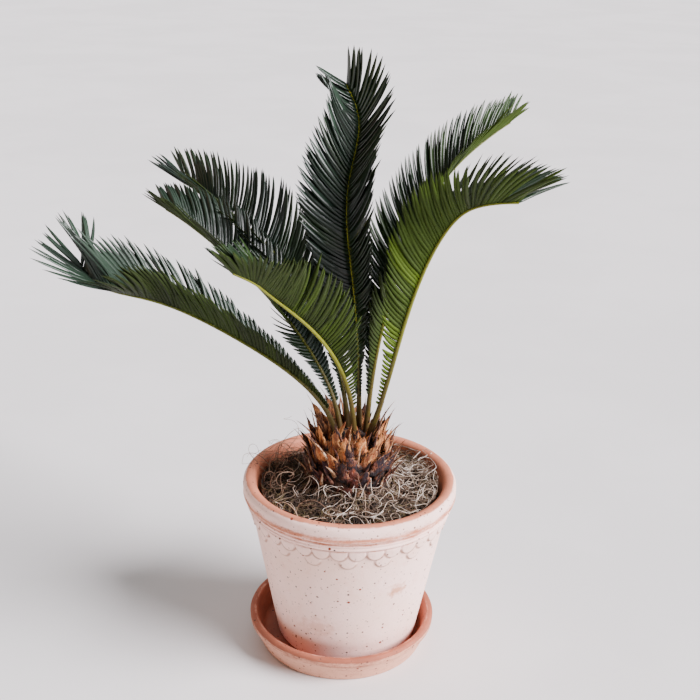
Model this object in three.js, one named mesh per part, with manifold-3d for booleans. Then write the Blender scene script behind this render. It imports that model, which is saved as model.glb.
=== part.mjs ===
// A young sago palm, Cycas revoluta, potted in worn terracotta that stands in a deep saucer.
// Millimetres, +Z up. The origin lies on the saucer's flat underside, below the pot's axis,
// and the plant is seen from its front when looking along +Y.
import * as THREE from "three";
import { mergeVertices } from "three/addons/utils/BufferGeometryUtils.js";
import Module from "manifold-3d";

const wasm = await Module();
wasm.setup();

const CLEARANCE = 0.3; // air between neighbouring pieces
const GOLDEN_ANGLE = 137.508; // degrees from one leaf base to the next round the trunk

const SAUCER = {
  shift: -3.4, // the saucer's axis lies a little to the left of the pot's
  footRadius: 56,
  shoulderRadius: 60.6,
  shoulderHeight: 13,
  rimRadius: 62.7,
  rimWidth: 5.2,
  rimHeight: 20.5,
  rimDrop: 5.4, // depth of the rolled rim's outer band
  floorRadius: 51.6,
  floorHeight: 5.2,
  rounding: 2.2,
  segments: 36,
};

const POT = {
  footHeight: SAUCER.floorHeight + CLEARANCE,
  footRounding: 4,
  coneStart: 45.4, // the body's radius, carried down to the table
  coneSlope: 0.19,
  bodyTop: 102.6,
  beadRadius: 67.6,
  beadBottom: 104.6,
  beadTop: 107.6,
  grooveRadius: 67.3,
  grooveHeight: 108.6,
  bandRadius: 70,
  bandBottom: 111.5,
  rimHeight: 122,
  rimRounding: 4,
  mouthRadius: 61.4,
  mouthRun: 4.6, // the lip rolls this far in, and down, to the mouth
  mouthDrop: 3.4,
  wall: 6.2,
  floor: 7,
  segments: 36,
};

const SCALLOPS = [
  { count: 36, firstAngle: -85, height: 101.2, radius: 5.5, relief: 1.3 },
  { count: 18, firstAngle: -90, height: 94.4, radius: 5.4, relief: 0.8 },
];
const SCALLOP = { sides: 8, rootDepth: 1.2 };

const SOIL = { top: 107, wallGap: 0.5 };

const MOSS = {
  bottom: SOIL.top + CLEARANCE,
  innerRadius: 29.8,
  wallGap: 1,
  innerHeight: 114.5, // the mat's height round the trunk
  ridgeHeight: 117.5, // where it is thickest
  ridgeInner: 0.3, // share of the way from the trunk to the wall
  shoulderHeight: 115.5,
  shoulderOuter: 0.7,
  outerHeight: 110.5, // against the pot's wall
  lumps: 1.2,
  segments: 30,
};

const STRANDS = {
  radius: 0.75,
  sides: 4,
  stepsEach: 2,
  loops: 13,
  span: [9, 16], // from one foot of a loop to the other
  rise: [4, 8],
  bowWidth: 0.75, // the loop's shoulders, as shares of its half span and of its height
  bowHeight: 0.8,
  edge: 6, // loops stand at least this far from the trunk and from the pot's wall
  rootInset: 11, // stray strands rise this far in from the pot's mouth
  lipInset: 3, // and pass over its edge this far in
  lipHeight: 3,
  sway: 3, // degrees to either side on the way up
  tendrils: [
    { angle: 176, lean: 14, rise: 28 },
    { angle: 160, lean: 9, rise: 30 },
    { angle: 146, lean: 5, rise: 26 },
    { angle: 62, lean: 3, rise: 18 },
  ],
};

const TRUNK = {
  bottom: SOIL.top + CLEARANCE,
  footRadius: 26,
  bellyRadius: 27.2,
  bellyHeight: 124,
  crownHeight: 153,
  crownShare: 0.26, // the flat crown's radius, as a share of the belly's
  levels: 7,
  segments: 18,
  reach: 35.5, // no scale's tip stands further from the trunk's axis
};

// The shape shared by leaf bases and bud scales, as shares of their width and thickness.
const SCALE = { kneeWidth: 0.72, rootThickness: 1.2 };

// Old leaf bases wrap the trunk in a spiral, broad at its foot and slender at its crown.
const LEAF_BASES = {
  count: 52,
  low: 113,
  high: 145,
  sunk: 2.4,
  length: [10, 19],
  width: [8.5, 5.2],
  thickness: [4.2, 2.8],
  spread: [4.6, 3],
  flare: [1.5, 4.5],
  kneeShare: 0.42,
  twist: 4,
};

// Pointed bud scales stand between the stalks.
const BRISTLES = {
  count: 22,
  ring: [8, 17],
  height: 143,
  length: [17, 33],
  width: 3.4,
  thickness: 1.7,
  spread: [2.4, 4.4],
  flare: [3, 8],
  kneeShare: 0.5,
  twist: 7,
};

// Each frond's rib is a cubic curve in an upright plane. It starts at its root on the crown,
// and rise, arch and tip are [distance out along the heading, height above the table].
// sway bends its outer part out of that plane. roll turns its two rows of leaflets about the
// rib, and twist adds to that towards the tip. The leaflets are full length from fullBy on,
// and shorten to tipShare of it at the tip, where they stand tipSweep degrees off the rib.
const USUAL = { sway: 0, roll: 0, twist: 0, leaflet: 48, fullBy: 0.45, tipShare: 0.55, tipSweep: 34 };
const FRONDS = [
  { ...USUAL, root: [-9, -3], heading: 186, rise: [9, 210], arch: [119, 234], tip: [155, 268],
    sway: -12, roll: -10, twist: -17, leaflet: 52, fullBy: 0.55, tipShare: 0.88, tipSweep: 33 },
  { ...USUAL, root: [-7, 4], heading: 150, rise: [3, 211], arch: [100, 266], tip: [138, 278] },
  { ...USUAL, root: [-2, 10], heading: 130, rise: [6, 221], arch: [80, 267], tip: [194, 275],
    roll: -24, twist: 14, leaflet: 55, fullBy: 0.65, tipShare: 0.68 },
  { ...USUAL, root: [5, 9], heading: 105, rise: [1, 220], arch: [13, 292], tip: [51, 365],
    sway: 6, roll: -32, twist: 9, leaflet: 45, fullBy: 0.6, tipShare: 0.72, tipSweep: 44 },
  { ...USUAL, root: [10, 4], heading: 42, rise: [2, 226], arch: [39, 323], tip: [120, 339],
    sway: 2, twist: 5, leaflet: 40, fullBy: 0.6, tipShare: 0.82, tipSweep: 27 },
  { ...USUAL, root: [10, -5], heading: 328, rise: [30, 224], arch: [23, 318], tip: [93, 321],
    sway: 5, roll: -9, leaflet: 45, fullBy: 0.6, tipShare: 0.9, tipSweep: 38 },
  { ...USUAL, root: [2, -8], heading: 238, rise: [0, 225], arch: [86, 272], tip: [122, 295],
    sway: -4 },
];

const RIB = { rootHeight: 149, rootRadius: 2.3, tipRadius: 0.8, sides: 5, steps: 12 };
const SOCKET_SLACK = 0.1; // the rib's flat sides need a little more than the clearance

const LEAFLET = {
  pairs: 17,
  start: 0.16, // share of the rib below the first pair
  lift: 42, // degrees that each row stands above the rib's own plane
  baseSweep: 78, // degrees between a leaflet and the rib, at the frond's base
  curl: 0.45, // how far the outer half turns towards the frond's tip
  baseShare: 0.14, // the lowest leaflets' length, as a share of the longest
  taperFrom: 0.5,
  width: 4.6,
  thickness: 1,
  rootWidth: 2,
  rootThickness: 0.8,
  knee: 0.55, // share of the length before the bend
  trims: [1, 0.8, 0.6, 0.42], // lengths tried where a neighbour stands in the way
};

const DEGREE = Math.PI / 180;
const UP = new THREE.Vector3(0, 0, 1);

// ---------------------------------------------------------------------------------------
// Small helpers

function seededRandom(seed) {
  let state = seed;
  return () => {
    state = (state * 1664525 + 1013904223) % 4294967296;
    return state / 4294967296;
  };
}

function smooth(from, to, value) {
  const share = THREE.MathUtils.clamp((value - from) / (to - from), 0, 1);
  return share * share * (3 - 2 * share);
}

function between([low, high], share) {
  return THREE.MathUtils.lerp(low, high, share);
}

function polar(radius, degrees, height) {
  return new THREE.Vector3(
    radius * Math.cos(degrees * DEGREE),
    radius * Math.sin(degrees * DEGREE),
    height,
  );
}

function arc(centreRadius, centreHeight, radius, fromDegrees, toDegrees, steps) {
  const points = [];
  for (let step = 0; step <= steps; step += 1) {
    const angle = (fromDegrees + ((toDegrees - fromDegrees) * step) / steps) * DEGREE;
    points.push(
      new THREE.Vector2(
        centreRadius + radius * Math.cos(angle),
        centreHeight + radius * Math.sin(angle),
      ),
    );
  }
  return points;
}

function turned(profile, segments) {
  return new THREE.LatheGeometry(profile, segments).rotateX(Math.PI / 2);
}

// A closed skin through a row of sections, each with the same number of corners, which run
// anticlockwise when seen from the far end. A last section of one corner makes a point.
function loft(sections) {
  const sides = sections[0].length;
  const faces = [];
  for (let level = 0; level + 1 < sections.length; level += 1) {
    const low = level * sides;
    const high = low + sides;
    const pointed = sections[level + 1].length === 1;
    for (let corner = 0; corner < sides; corner += 1) {
      const next = (corner + 1) % sides;
      if (pointed) {
        faces.push(low + corner, low + next, high);
      } else {
        faces.push(low + corner, low + next, high + next);
        faces.push(low + corner, high + next, high + corner);
      }
    }
  }
  for (let corner = 1; corner + 1 < sides; corner += 1) {
    faces.push(0, corner + 1, corner);
  }
  const last = sections.at(-1);
  if (last.length > 1) {
    const first = (sections.length - 1) * sides;
    for (let corner = 1; corner + 1 < sides; corner += 1) {
      faces.push(first, first + corner, first + corner + 1);
    }
  }
  const geometry = new THREE.BufferGeometry().setFromPoints(sections.flat());
  geometry.setIndex(faces);
  return geometry;
}

function acrossTo(direction, hint) {
  const across = hint.clone().addScaledVector(direction, -hint.dot(direction));
  return across.normalize();
}

function roundSection(centre, direction, hint, radius, sides) {
  const first = acrossTo(direction, hint);
  const second = new THREE.Vector3().crossVectors(direction, first);
  const corners = [];
  for (let side = 0; side < sides; side += 1) {
    const angle = (side / sides) * 2 * Math.PI;
    corners.push(
      centre
        .clone()
        .addScaledVector(first, radius * Math.cos(angle))
        .addScaledVector(second, radius * Math.sin(angle)),
    );
  }
  return corners;
}

// A keeled section: flat on its upper face, with a ridge below it.
function keeledSection(centre, direction, upper, width, thickness) {
  const above = acrossTo(direction, upper);
  const across = new THREE.Vector3().crossVectors(above, direction);
  const skin = centre.clone().addScaledVector(above, thickness / 2);
  return [
    skin.clone().addScaledVector(across, width / 2),
    skin.clone().addScaledVector(across, -width / 2),
    centre.clone().addScaledVector(above, -thickness / 2),
  ];
}

function solid(geometry) {
  const bare = geometry.clone();
  bare.deleteAttribute("normal");
  bare.deleteAttribute("uv");
  const merged = mergeVertices(bare, 1e-4);
  return new wasm.Manifold(
    new wasm.Mesh({
      numProp: 3,
      vertProperties: new Float32Array(merged.attributes.position.array),
      triVerts: new Uint32Array(merged.index.array),
    }),
  );
}

function joined(solids) {
  return wasm.Manifold.union(solids);
}

// Only the main piece of a cut solid is kept, so that no loose scrap is left beside it.
function mainPiece(manifold) {
  const pieces = manifold.decompose();
  return pieces.reduce((best, piece) => (piece.volume() > best.volume() ? piece : best));
}

function meshOf(name, manifold, finish) {
  const mesh = manifold.getMesh();
  const geometry = new THREE.BufferGeometry();
  geometry.setAttribute("position", new THREE.BufferAttribute(mesh.vertProperties, 3));
  geometry.setIndex(new THREE.BufferAttribute(mesh.triVerts, 1));
  const flat = geometry.toNonIndexed();
  flat.computeVertexNormals();
  const node = new THREE.Mesh(flat, new THREE.MeshStandardMaterial({ metalness: 0, ...finish }));
  node.name = name;
  return node;
}

// ---------------------------------------------------------------------------------------
// Saucer, pot and soil

function saucerProfile() {
  const s = SAUCER;
  const outerCorner = s.rimRadius - s.rounding;
  const innerEdge = s.rimRadius - s.rimWidth;
  const cornerHeight = s.rimHeight - s.rounding;
  return [
    new THREE.Vector2(0, 0),
    ...arc(s.footRadius - s.rounding, s.rounding, s.rounding, -90, -15, 2),
    new THREE.Vector2(s.shoulderRadius, s.shoulderHeight),
    new THREE.Vector2(s.rimRadius, s.rimHeight - s.rimDrop),
    ...arc(outerCorner, cornerHeight, s.rounding, 0, 90, 3),
    ...arc(innerEdge + s.rounding, cornerHeight, s.rounding, 90, 180, 3),
    new THREE.Vector2(s.floorRadius + s.rounding / 2, s.floorHeight + s.rounding),
    new THREE.Vector2(s.floorRadius - s.rounding / 2, s.floorHeight),
    new THREE.Vector2(0, s.floorHeight),
  ];
}

function coneRadius(height) {
  return POT.coneStart + POT.coneSlope * height;
}

function innerRadius(height) {
  return coneRadius(height) - POT.wall;
}

function potProfile() {
  const p = POT;
  const footTop = p.footHeight + p.footRounding;
  const rimCorner = p.rimHeight - p.rimRounding;
  const floorTop = p.footHeight + p.floor;
  return [
    new THREE.Vector2(0, p.footHeight),
    ...arc(coneRadius(footTop) - p.footRounding, footTop, p.footRounding, -90, 0, 3),
    new THREE.Vector2(coneRadius(p.bodyTop), p.bodyTop),
    new THREE.Vector2(p.beadRadius, p.beadBottom),
    new THREE.Vector2(p.beadRadius, p.beadTop),
    new THREE.Vector2(p.grooveRadius, p.grooveHeight),
    new THREE.Vector2(p.bandRadius, p.bandBottom),
    ...arc(p.bandRadius - p.rimRounding, rimCorner, p.rimRounding, 0, 90, 4),
    ...[30, 60, 90].map(
      (turn) =>
        new THREE.Vector2(
          p.mouthRadius + p.mouthRun * (1 - Math.sin(turn * DEGREE)),
          p.rimHeight - p.mouthDrop * (1 - Math.cos(turn * DEGREE)),
        ),
    ),
    new THREE.Vector2(innerRadius(p.grooveHeight), p.grooveHeight),
    new THREE.Vector2(innerRadius(floorTop), floorTop),
    new THREE.Vector2(0, floorTop),
  ];
}

// A round tile stands proud of the cone, its axis square to the wall.
function scallop(row, index) {
  const angle = row.firstAngle + (360 / row.count) * index;
  const outward = new THREE.Vector3(1, 0, -POT.coneSlope).normalize();
  const depth = row.relief + SCALLOP.rootDepth;
  const tile = new THREE.CylinderGeometry(row.radius, row.radius, depth, SCALLOP.sides);
  tile.applyQuaternion(
    new THREE.Quaternion().setFromUnitVectors(new THREE.Vector3(0, 1, 0), outward),
  );
  const middle = (row.relief - SCALLOP.rootDepth) / 2;
  tile.translate(coneRadius(row.height) + outward.x * middle, 0, row.height + outward.z * middle);
  return solid(tile.rotateZ(angle * DEGREE));
}

function buildPot() {
  const pieces = [solid(turned(potProfile(), POT.segments))];
  for (const row of SCALLOPS) {
    for (let index = 0; index < row.count; index += 1) {
      pieces.push(scallop(row, index));
    }
  }
  return joined(pieces);
}

function buildSoil() {
  const bottom = POT.footHeight + POT.floor + SOIL.wallGap;
  return solid(
    turned(
      [
        new THREE.Vector2(0, bottom),
        new THREE.Vector2(innerRadius(bottom) - SOIL.wallGap, bottom),
        new THREE.Vector2(innerRadius(SOIL.top) - SOIL.wallGap, SOIL.top),
        new THREE.Vector2(0, SOIL.top),
      ],
      POT.segments,
    ),
  );
}

// ---------------------------------------------------------------------------------------
// Frond ribs

function ribPoint(frond, share) {
  const heading = polar(1, frond.heading, 0);
  const aside = polar(1, frond.heading + 90, 0);
  const curve = new THREE.CubicBezierCurve(
    new THREE.Vector2(0, RIB.rootHeight),
    new THREE.Vector2(...frond.rise),
    new THREE.Vector2(...frond.arch),
    new THREE.Vector2(...frond.tip),
  );
  const [out, height] = curve.getPoint(share).toArray();
  return new THREE.Vector3(frond.root[0], frond.root[1], height)
    .addScaledVector(heading, out)
    .addScaledVector(aside, frond.sway * Math.sin(2 * Math.PI * share ** 3));
}

// The rib's own axes: along it, aside to its left, and above its upper face.
function ribAxes(frond, share) {
  const step = 0.004;
  const along = ribPoint(frond, Math.min(share + step, 1))
    .sub(ribPoint(frond, Math.max(share - step, 0)))
    .normalize();
  const level = acrossTo(along, polar(1, frond.heading + 90, 0));
  const upright = new THREE.Vector3().crossVectors(along, level);
  const turn = (frond.roll + frond.twist * share) * DEGREE;
  const aside = level
    .clone()
    .multiplyScalar(Math.cos(turn))
    .addScaledVector(upright, Math.sin(turn));
  return { along, aside, above: new THREE.Vector3().crossVectors(along, aside) };
}

function ribSolid(frond, extraRadius, extraRoot) {
  const sections = [];
  for (let step = 0; step <= RIB.steps; step += 1) {
    const share = step / RIB.steps;
    const { along, aside } = ribAxes(frond, share);
    const radius = THREE.MathUtils.lerp(RIB.rootRadius, RIB.tipRadius, share) + extraRadius;
    const centre = ribPoint(frond, share);
    if (step === 0) {
      centre.addScaledVector(along, -extraRoot);
    }
    sections.push(roundSection(centre, along, aside, radius, RIB.sides));
  }
  return solid(loft(sections));
}

// ---------------------------------------------------------------------------------------
// Trunk

function trunkCoreRadius(height) {
  const t = TRUNK;
  if (height < t.bellyHeight) {
    const share = (height - t.bottom) / (t.bellyHeight - t.bottom);
    return THREE.MathUtils.lerp(t.footRadius, t.bellyRadius, Math.sin((share * Math.PI) / 2));
  }
  const share = (height - t.bellyHeight) / (t.crownHeight - t.bellyHeight);
  return t.bellyRadius * Math.sqrt(1 - (1 - t.crownShare ** 2) * share ** 2);
}

function trunkCore() {
  const profile = [new THREE.Vector2(0, TRUNK.bottom)];
  for (let level = 0; level <= TRUNK.levels; level += 1) {
    const height = between([TRUNK.bottom, TRUNK.crownHeight], level / TRUNK.levels);
    profile.push(new THREE.Vector2(trunkCoreRadius(height), height));
  }
  profile.push(new THREE.Vector2(0, TRUNK.crownHeight));
  return solid(turned(profile, TRUNK.segments));
}

// One leaf base or bud scale: its root is sunk in the core, and its tip bends upwards.
function scaleSolid(angle, rootRadius, rootHeight, size) {
  const outward = polar(1, angle, 0);
  const inward = outward.clone().negate();
  const root = polar(rootRadius, angle, rootHeight);
  const knee = polar(rootRadius + size.spread, angle, rootHeight + size.length * size.kneeShare);
  const tipRadius = Math.min(rootRadius + size.spread + size.flare, TRUNK.reach);
  const tip = polar(tipRadius, angle + size.twist, rootHeight + size.length);
  const lower = knee.clone().sub(root).normalize();
  const upper = tip.clone().sub(knee).normalize();
  const rootThickness = size.thickness * SCALE.rootThickness;
  return solid(
    loft([
      keeledSection(root, lower, inward, size.width, rootThickness),
      keeledSection(knee, upper, inward, size.width * SCALE.kneeWidth, size.thickness),
      [tip],
    ]),
  );
}

function leafBases(random) {
  const kind = LEAF_BASES;
  const scales = [];
  for (let index = 0; index < kind.count; index += 1) {
    const share = index / (kind.count - 1);
    const height = between([kind.low, kind.high], share);
    scales.push(
      scaleSolid(index * GOLDEN_ANGLE, trunkCoreRadius(height) - kind.sunk, height, {
        length: between(kind.length, share) * between([0.85, 1.15], random()),
        width: between(kind.width, share),
        thickness: between(kind.thickness, share),
        spread: between(kind.spread, share),
        flare: between(kind.flare, random()),
        twist: between([-kind.twist, kind.twist], random()),
        kneeShare: kind.kneeShare,
      }),
    );
  }
  return scales;
}

function crownBristles(random) {
  const kind = BRISTLES;
  const bristles = [];
  for (let index = 0; index < kind.count; index += 1) {
    const angle = (index * 360) / kind.count;
    bristles.push(
      scaleSolid(angle, between(kind.ring, random()), kind.height, {
        length: between(kind.length, random()),
        width: kind.width,
        thickness: kind.thickness,
        spread: between(kind.spread, random()),
        flare: between(kind.flare, random()),
        twist: between([-kind.twist, kind.twist], random()),
        kneeShare: kind.kneeShare,
      }),
    );
  }
  return bristles;
}

function buildTrunk(sockets) {
  const random = seededRandom(11);
  const whole = joined([trunkCore(), ...leafBases(random), ...crownBristles(random)]);
  return mainPiece(whole.subtract(joined(sockets)));
}

// ---------------------------------------------------------------------------------------
// Moss

function mossMat(random) {
  const m = MOSS;
  const outer = innerRadius(m.bottom) - m.wallGap;
  const across = [m.innerRadius, outer];
  const profile = [
    new THREE.Vector2(m.innerRadius, m.bottom),
    new THREE.Vector2(outer, m.bottom),
    new THREE.Vector2(outer, m.outerHeight),
    new THREE.Vector2(between(across, m.shoulderOuter), m.shoulderHeight),
    new THREE.Vector2(between(across, m.ridgeInner), m.ridgeHeight),
    new THREE.Vector2(m.innerRadius, m.innerHeight),
    new THREE.Vector2(m.innerRadius, m.bottom),
  ];
  const ring = turned(profile, m.segments);
  ring.deleteAttribute("normal");
  ring.deleteAttribute("uv");
  const mat = mergeVertices(ring, 1e-3);
  const corners = mat.attributes.position;
  for (let corner = 0; corner < corners.count; corner += 1) {
    const height = corners.getZ(corner);
    if (height > m.bottom + m.lumps) {
      corners.setZ(corner, height + between([-m.lumps, m.lumps], random()));
    }
  }
  return solid(mat);
}

function strand(points, hint) {
  const curve = new THREE.CatmullRomCurve3(points);
  const steps = STRANDS.stepsEach * (points.length - 1);
  const sections = [];
  for (let step = 0; step <= steps; step += 1) {
    const share = step / steps;
    const along = curve.getTangent(share);
    const centre = curve.getPoint(share);
    sections.push(roundSection(centre, along, hint, STRANDS.radius, STRANDS.sides));
  }
  return solid(loft(sections));
}

function mossLoop(random) {
  const nearest = MOSS.innerRadius + STRANDS.edge;
  const furthest = innerRadius(MOSS.outerHeight) - STRANDS.edge;
  const foot = polar(between([nearest, furthest], random()), 360 * random(), MOSS.outerHeight);
  const side = polar(between(STRANDS.span, random()) / 2, 360 * random(), 0);
  const rise = MOSS.ridgeHeight - MOSS.outerHeight + between(STRANDS.rise, random());
  const bow = side.clone().multiplyScalar(STRANDS.bowWidth);
  return strand(
    [
      foot.clone().add(side),
      foot.clone().add(bow).addScaledVector(UP, rise * STRANDS.bowHeight),
      foot.clone().sub(bow).addScaledVector(UP, rise),
      foot.clone().sub(side),
    ],
    UP.clone().cross(side).normalize(),
  );
}

// A stray strand that rises out of the mat and leans over the pot's rim.
function tendril({ angle, lean, rise }) {
  const lip = POT.mouthRadius - STRANDS.lipInset;
  return strand(
    [
      polar(POT.mouthRadius - STRANDS.rootInset, angle, MOSS.outerHeight),
      polar(lip, angle + STRANDS.sway, POT.rimHeight + STRANDS.lipHeight),
      polar(lip + lean / 2, angle - STRANDS.sway, POT.rimHeight + rise / 2),
      polar(lip + lean, angle + STRANDS.sway, POT.rimHeight + rise),
    ],
    polar(1, angle + 90, 0),
  );
}

function buildMoss(neighbours) {
  const random = seededRandom(29);
  const mat = mossMat(random);
  const strands = STRANDS.tendrils.map(tendril);
  for (let index = 0; index < STRANDS.loops; index += 1) {
    strands.push(mossLoop(random));
  }
  const clear = (piece) => neighbours.every((other) => piece.minGap(other, 1) > CLEARANCE);
  return mainPiece(joined([mat, ...strands.filter(clear)]));
}

// ---------------------------------------------------------------------------------------
// Leaflets

function leafletLength(frond, share) {
  const swell = between([LEAFLET.baseShare, 1], smooth(0, frond.fullBy, share));
  const taper = between([1, frond.tipShare], smooth(LEAFLET.taperFrom, 1, share));
  return frond.leaflet * swell * taper;
}

function leafletSolid(frond, share, side, trim) {
  const place = LEAFLET.start + (1 - LEAFLET.start) * share;
  const { along, aside, above } = ribAxes(frond, place);
  const sweep = between([LEAFLET.baseSweep, frond.tipSweep], share) * DEGREE;
  const lift = LEAFLET.lift * DEGREE;
  const row = aside
    .clone()
    .multiplyScalar(side * Math.cos(lift))
    .addScaledVector(above, Math.sin(lift));
  const lower = along
    .clone()
    .multiplyScalar(Math.cos(sweep))
    .addScaledVector(row, Math.sin(sweep));
  const upper = lower.clone().addScaledVector(along, LEAFLET.curl).normalize();
  const face = new THREE.Vector3().crossVectors(along, row).multiplyScalar(side);
  const length = leafletLength(frond, share) * trim;
  const root = ribPoint(frond, place);
  const knee = root.clone().addScaledVector(lower, length * LEAFLET.knee);
  const tip = knee.clone().addScaledVector(upper, length * (1 - LEAFLET.knee));
  return solid(
    loft([
      keeledSection(root, lower, face, LEAFLET.rootWidth, LEAFLET.rootThickness),
      keeledSection(knee, upper, face, LEAFLET.width, LEAFLET.thickness),
      [tip],
    ]),
  );
}

function buildFrond(frond, ribs, others) {
  const own = FRONDS.indexOf(frond);
  const obstacles = [...others, ...ribs.filter((_, index) => index !== own)];
  const clear = (leaf) => obstacles.every((other) => leaf.minGap(other, 1) > CLEARANCE);
  const pieces = [ribs[own]];
  for (let index = 0; index < LEAFLET.pairs; index += 1) {
    const share = (index + 0.5) / LEAFLET.pairs;
    for (const side of [-1, 1]) {
      const fitting = LEAFLET.trims
        .map((trim) => leafletSolid(frond, share, side, trim))
        .find(clear);
      if (fitting) {
        pieces.push(fitting);
      }
    }
  }
  return mainPiece(joined(pieces));
}

// ---------------------------------------------------------------------------------------
// The whole plant with its pot

const palm = new THREE.Group();

const saucer = meshOf("saucer", solid(turned(saucerProfile(), SAUCER.segments)), {
  color: 0xc9826a,
  roughness: 0.85,
});
saucer.position.x = SAUCER.shift;
palm.add(saucer);

const pot = buildPot();
palm.add(meshOf("pot", pot, { color: 0xe6d6cd, roughness: 0.9 }));
palm.add(meshOf("soil", buildSoil(), { color: 0x2e241c, roughness: 1 }));

const ribs = FRONDS.map((frond) => ribSolid(frond, 0, 0));
const sockets = FRONDS.map((frond) => ribSolid(frond, CLEARANCE + SOCKET_SLACK, CLEARANCE));
const trunk = buildTrunk(sockets);
palm.add(meshOf("trunk", trunk, { color: 0x6d4630, roughness: 0.95 }));

const moss = buildMoss([trunk, pot]);
palm.add(meshOf("moss", moss, { color: 0xa9a694, roughness: 1 }));

const standing = [trunk, moss];
FRONDS.forEach((frond, index) => {
  const whole = buildFrond(frond, ribs, standing);
  standing.push(whole);
  palm.add(meshOf(`frond_${index + 1}`, whole, { color: 0x2f5230, roughness: 0.4 }));
});

export default palm;
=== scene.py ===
# A young sago palm in a scalloped terracotta pot and saucer, dressed over its solids.
# Sizes are in millimetres unless a name ends in _m, and become metres as each mesh is made.
import math
from functools import partialmethod

import bpy
import numpy as np
from mathutils import Matrix, Vector


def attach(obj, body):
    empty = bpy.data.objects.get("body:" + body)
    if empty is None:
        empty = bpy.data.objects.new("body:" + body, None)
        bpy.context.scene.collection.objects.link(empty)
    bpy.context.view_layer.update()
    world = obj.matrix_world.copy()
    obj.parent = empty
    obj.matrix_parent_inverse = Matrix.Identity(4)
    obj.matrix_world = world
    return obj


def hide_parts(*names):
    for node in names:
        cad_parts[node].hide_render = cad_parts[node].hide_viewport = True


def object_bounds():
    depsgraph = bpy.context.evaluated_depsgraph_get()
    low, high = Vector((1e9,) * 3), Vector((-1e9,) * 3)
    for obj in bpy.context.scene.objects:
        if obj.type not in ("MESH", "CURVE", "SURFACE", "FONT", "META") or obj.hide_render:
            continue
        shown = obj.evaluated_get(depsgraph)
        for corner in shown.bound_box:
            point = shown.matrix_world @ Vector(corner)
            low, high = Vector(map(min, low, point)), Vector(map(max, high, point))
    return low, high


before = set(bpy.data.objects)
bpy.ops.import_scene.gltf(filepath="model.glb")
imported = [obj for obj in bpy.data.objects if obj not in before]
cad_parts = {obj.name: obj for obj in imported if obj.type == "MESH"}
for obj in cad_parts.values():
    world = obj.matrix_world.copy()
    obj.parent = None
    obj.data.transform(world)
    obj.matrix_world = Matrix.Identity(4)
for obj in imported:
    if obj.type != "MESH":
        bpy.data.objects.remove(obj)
cad_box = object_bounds()

MM = 0.001
UP = np.array([0.0, 0.0, 1.0])
FULL_TURN = 2 * math.pi
GOLDEN_ANGLE = 137.508
# how a pattern is stretched: not at all, or drawn out upwards
PLAIN = (1, 1, 1)
TALL = (1.0, 1.0, 0.16)

# ---- Sizes shared with the solids

CONE_START = 45.4
CONE_SLOPE = 0.19
POT_WALL = 6.2
POT_FOOT = 5.5
POT_BODY_TOP = 102.6
POT_MOUTH = 61.4
# how many scallops, the bearing of the first, the height of their middles, radius and relief
SCALLOP_ROWS = [(36, -85.0, 101.2, 5.6, 1.5), (18, -90.0, 94.4, 5.4, 1.0)]
SAUCER_SHIFT = -3.4
SOIL_LEVEL = 107.3
TRUNK_FOOT = 26.0
TRUNK_BELLY = 27.2
TRUNK_BELLY_HEIGHT = 124.0
TRUNK_CROWN = 153.0
TRUNK_CROWN_SHARE = 0.26
RIB_ROOT_HEIGHT = 149.0
LEAFLET_START = 0.12
LEAFLET_SPACING = 2.35
LEAFLET_OPENING = 2.0
LEAFLET_CURL = 0.28
LEAFLET_TRIM = 0.92
FOOT_SWEEP = 78
FOOT_TURN = -14
FOOT_WIDTH = 2.2
TIP_NARROWING = 0.76
LOOSE_SHARE = 0.025
LOOSE_FAN = 6.0
BOX_ROOM = 0.93
BOX_LOW, BOX_HIGH = (np.array(corner) / MM for corner in cad_box)

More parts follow.
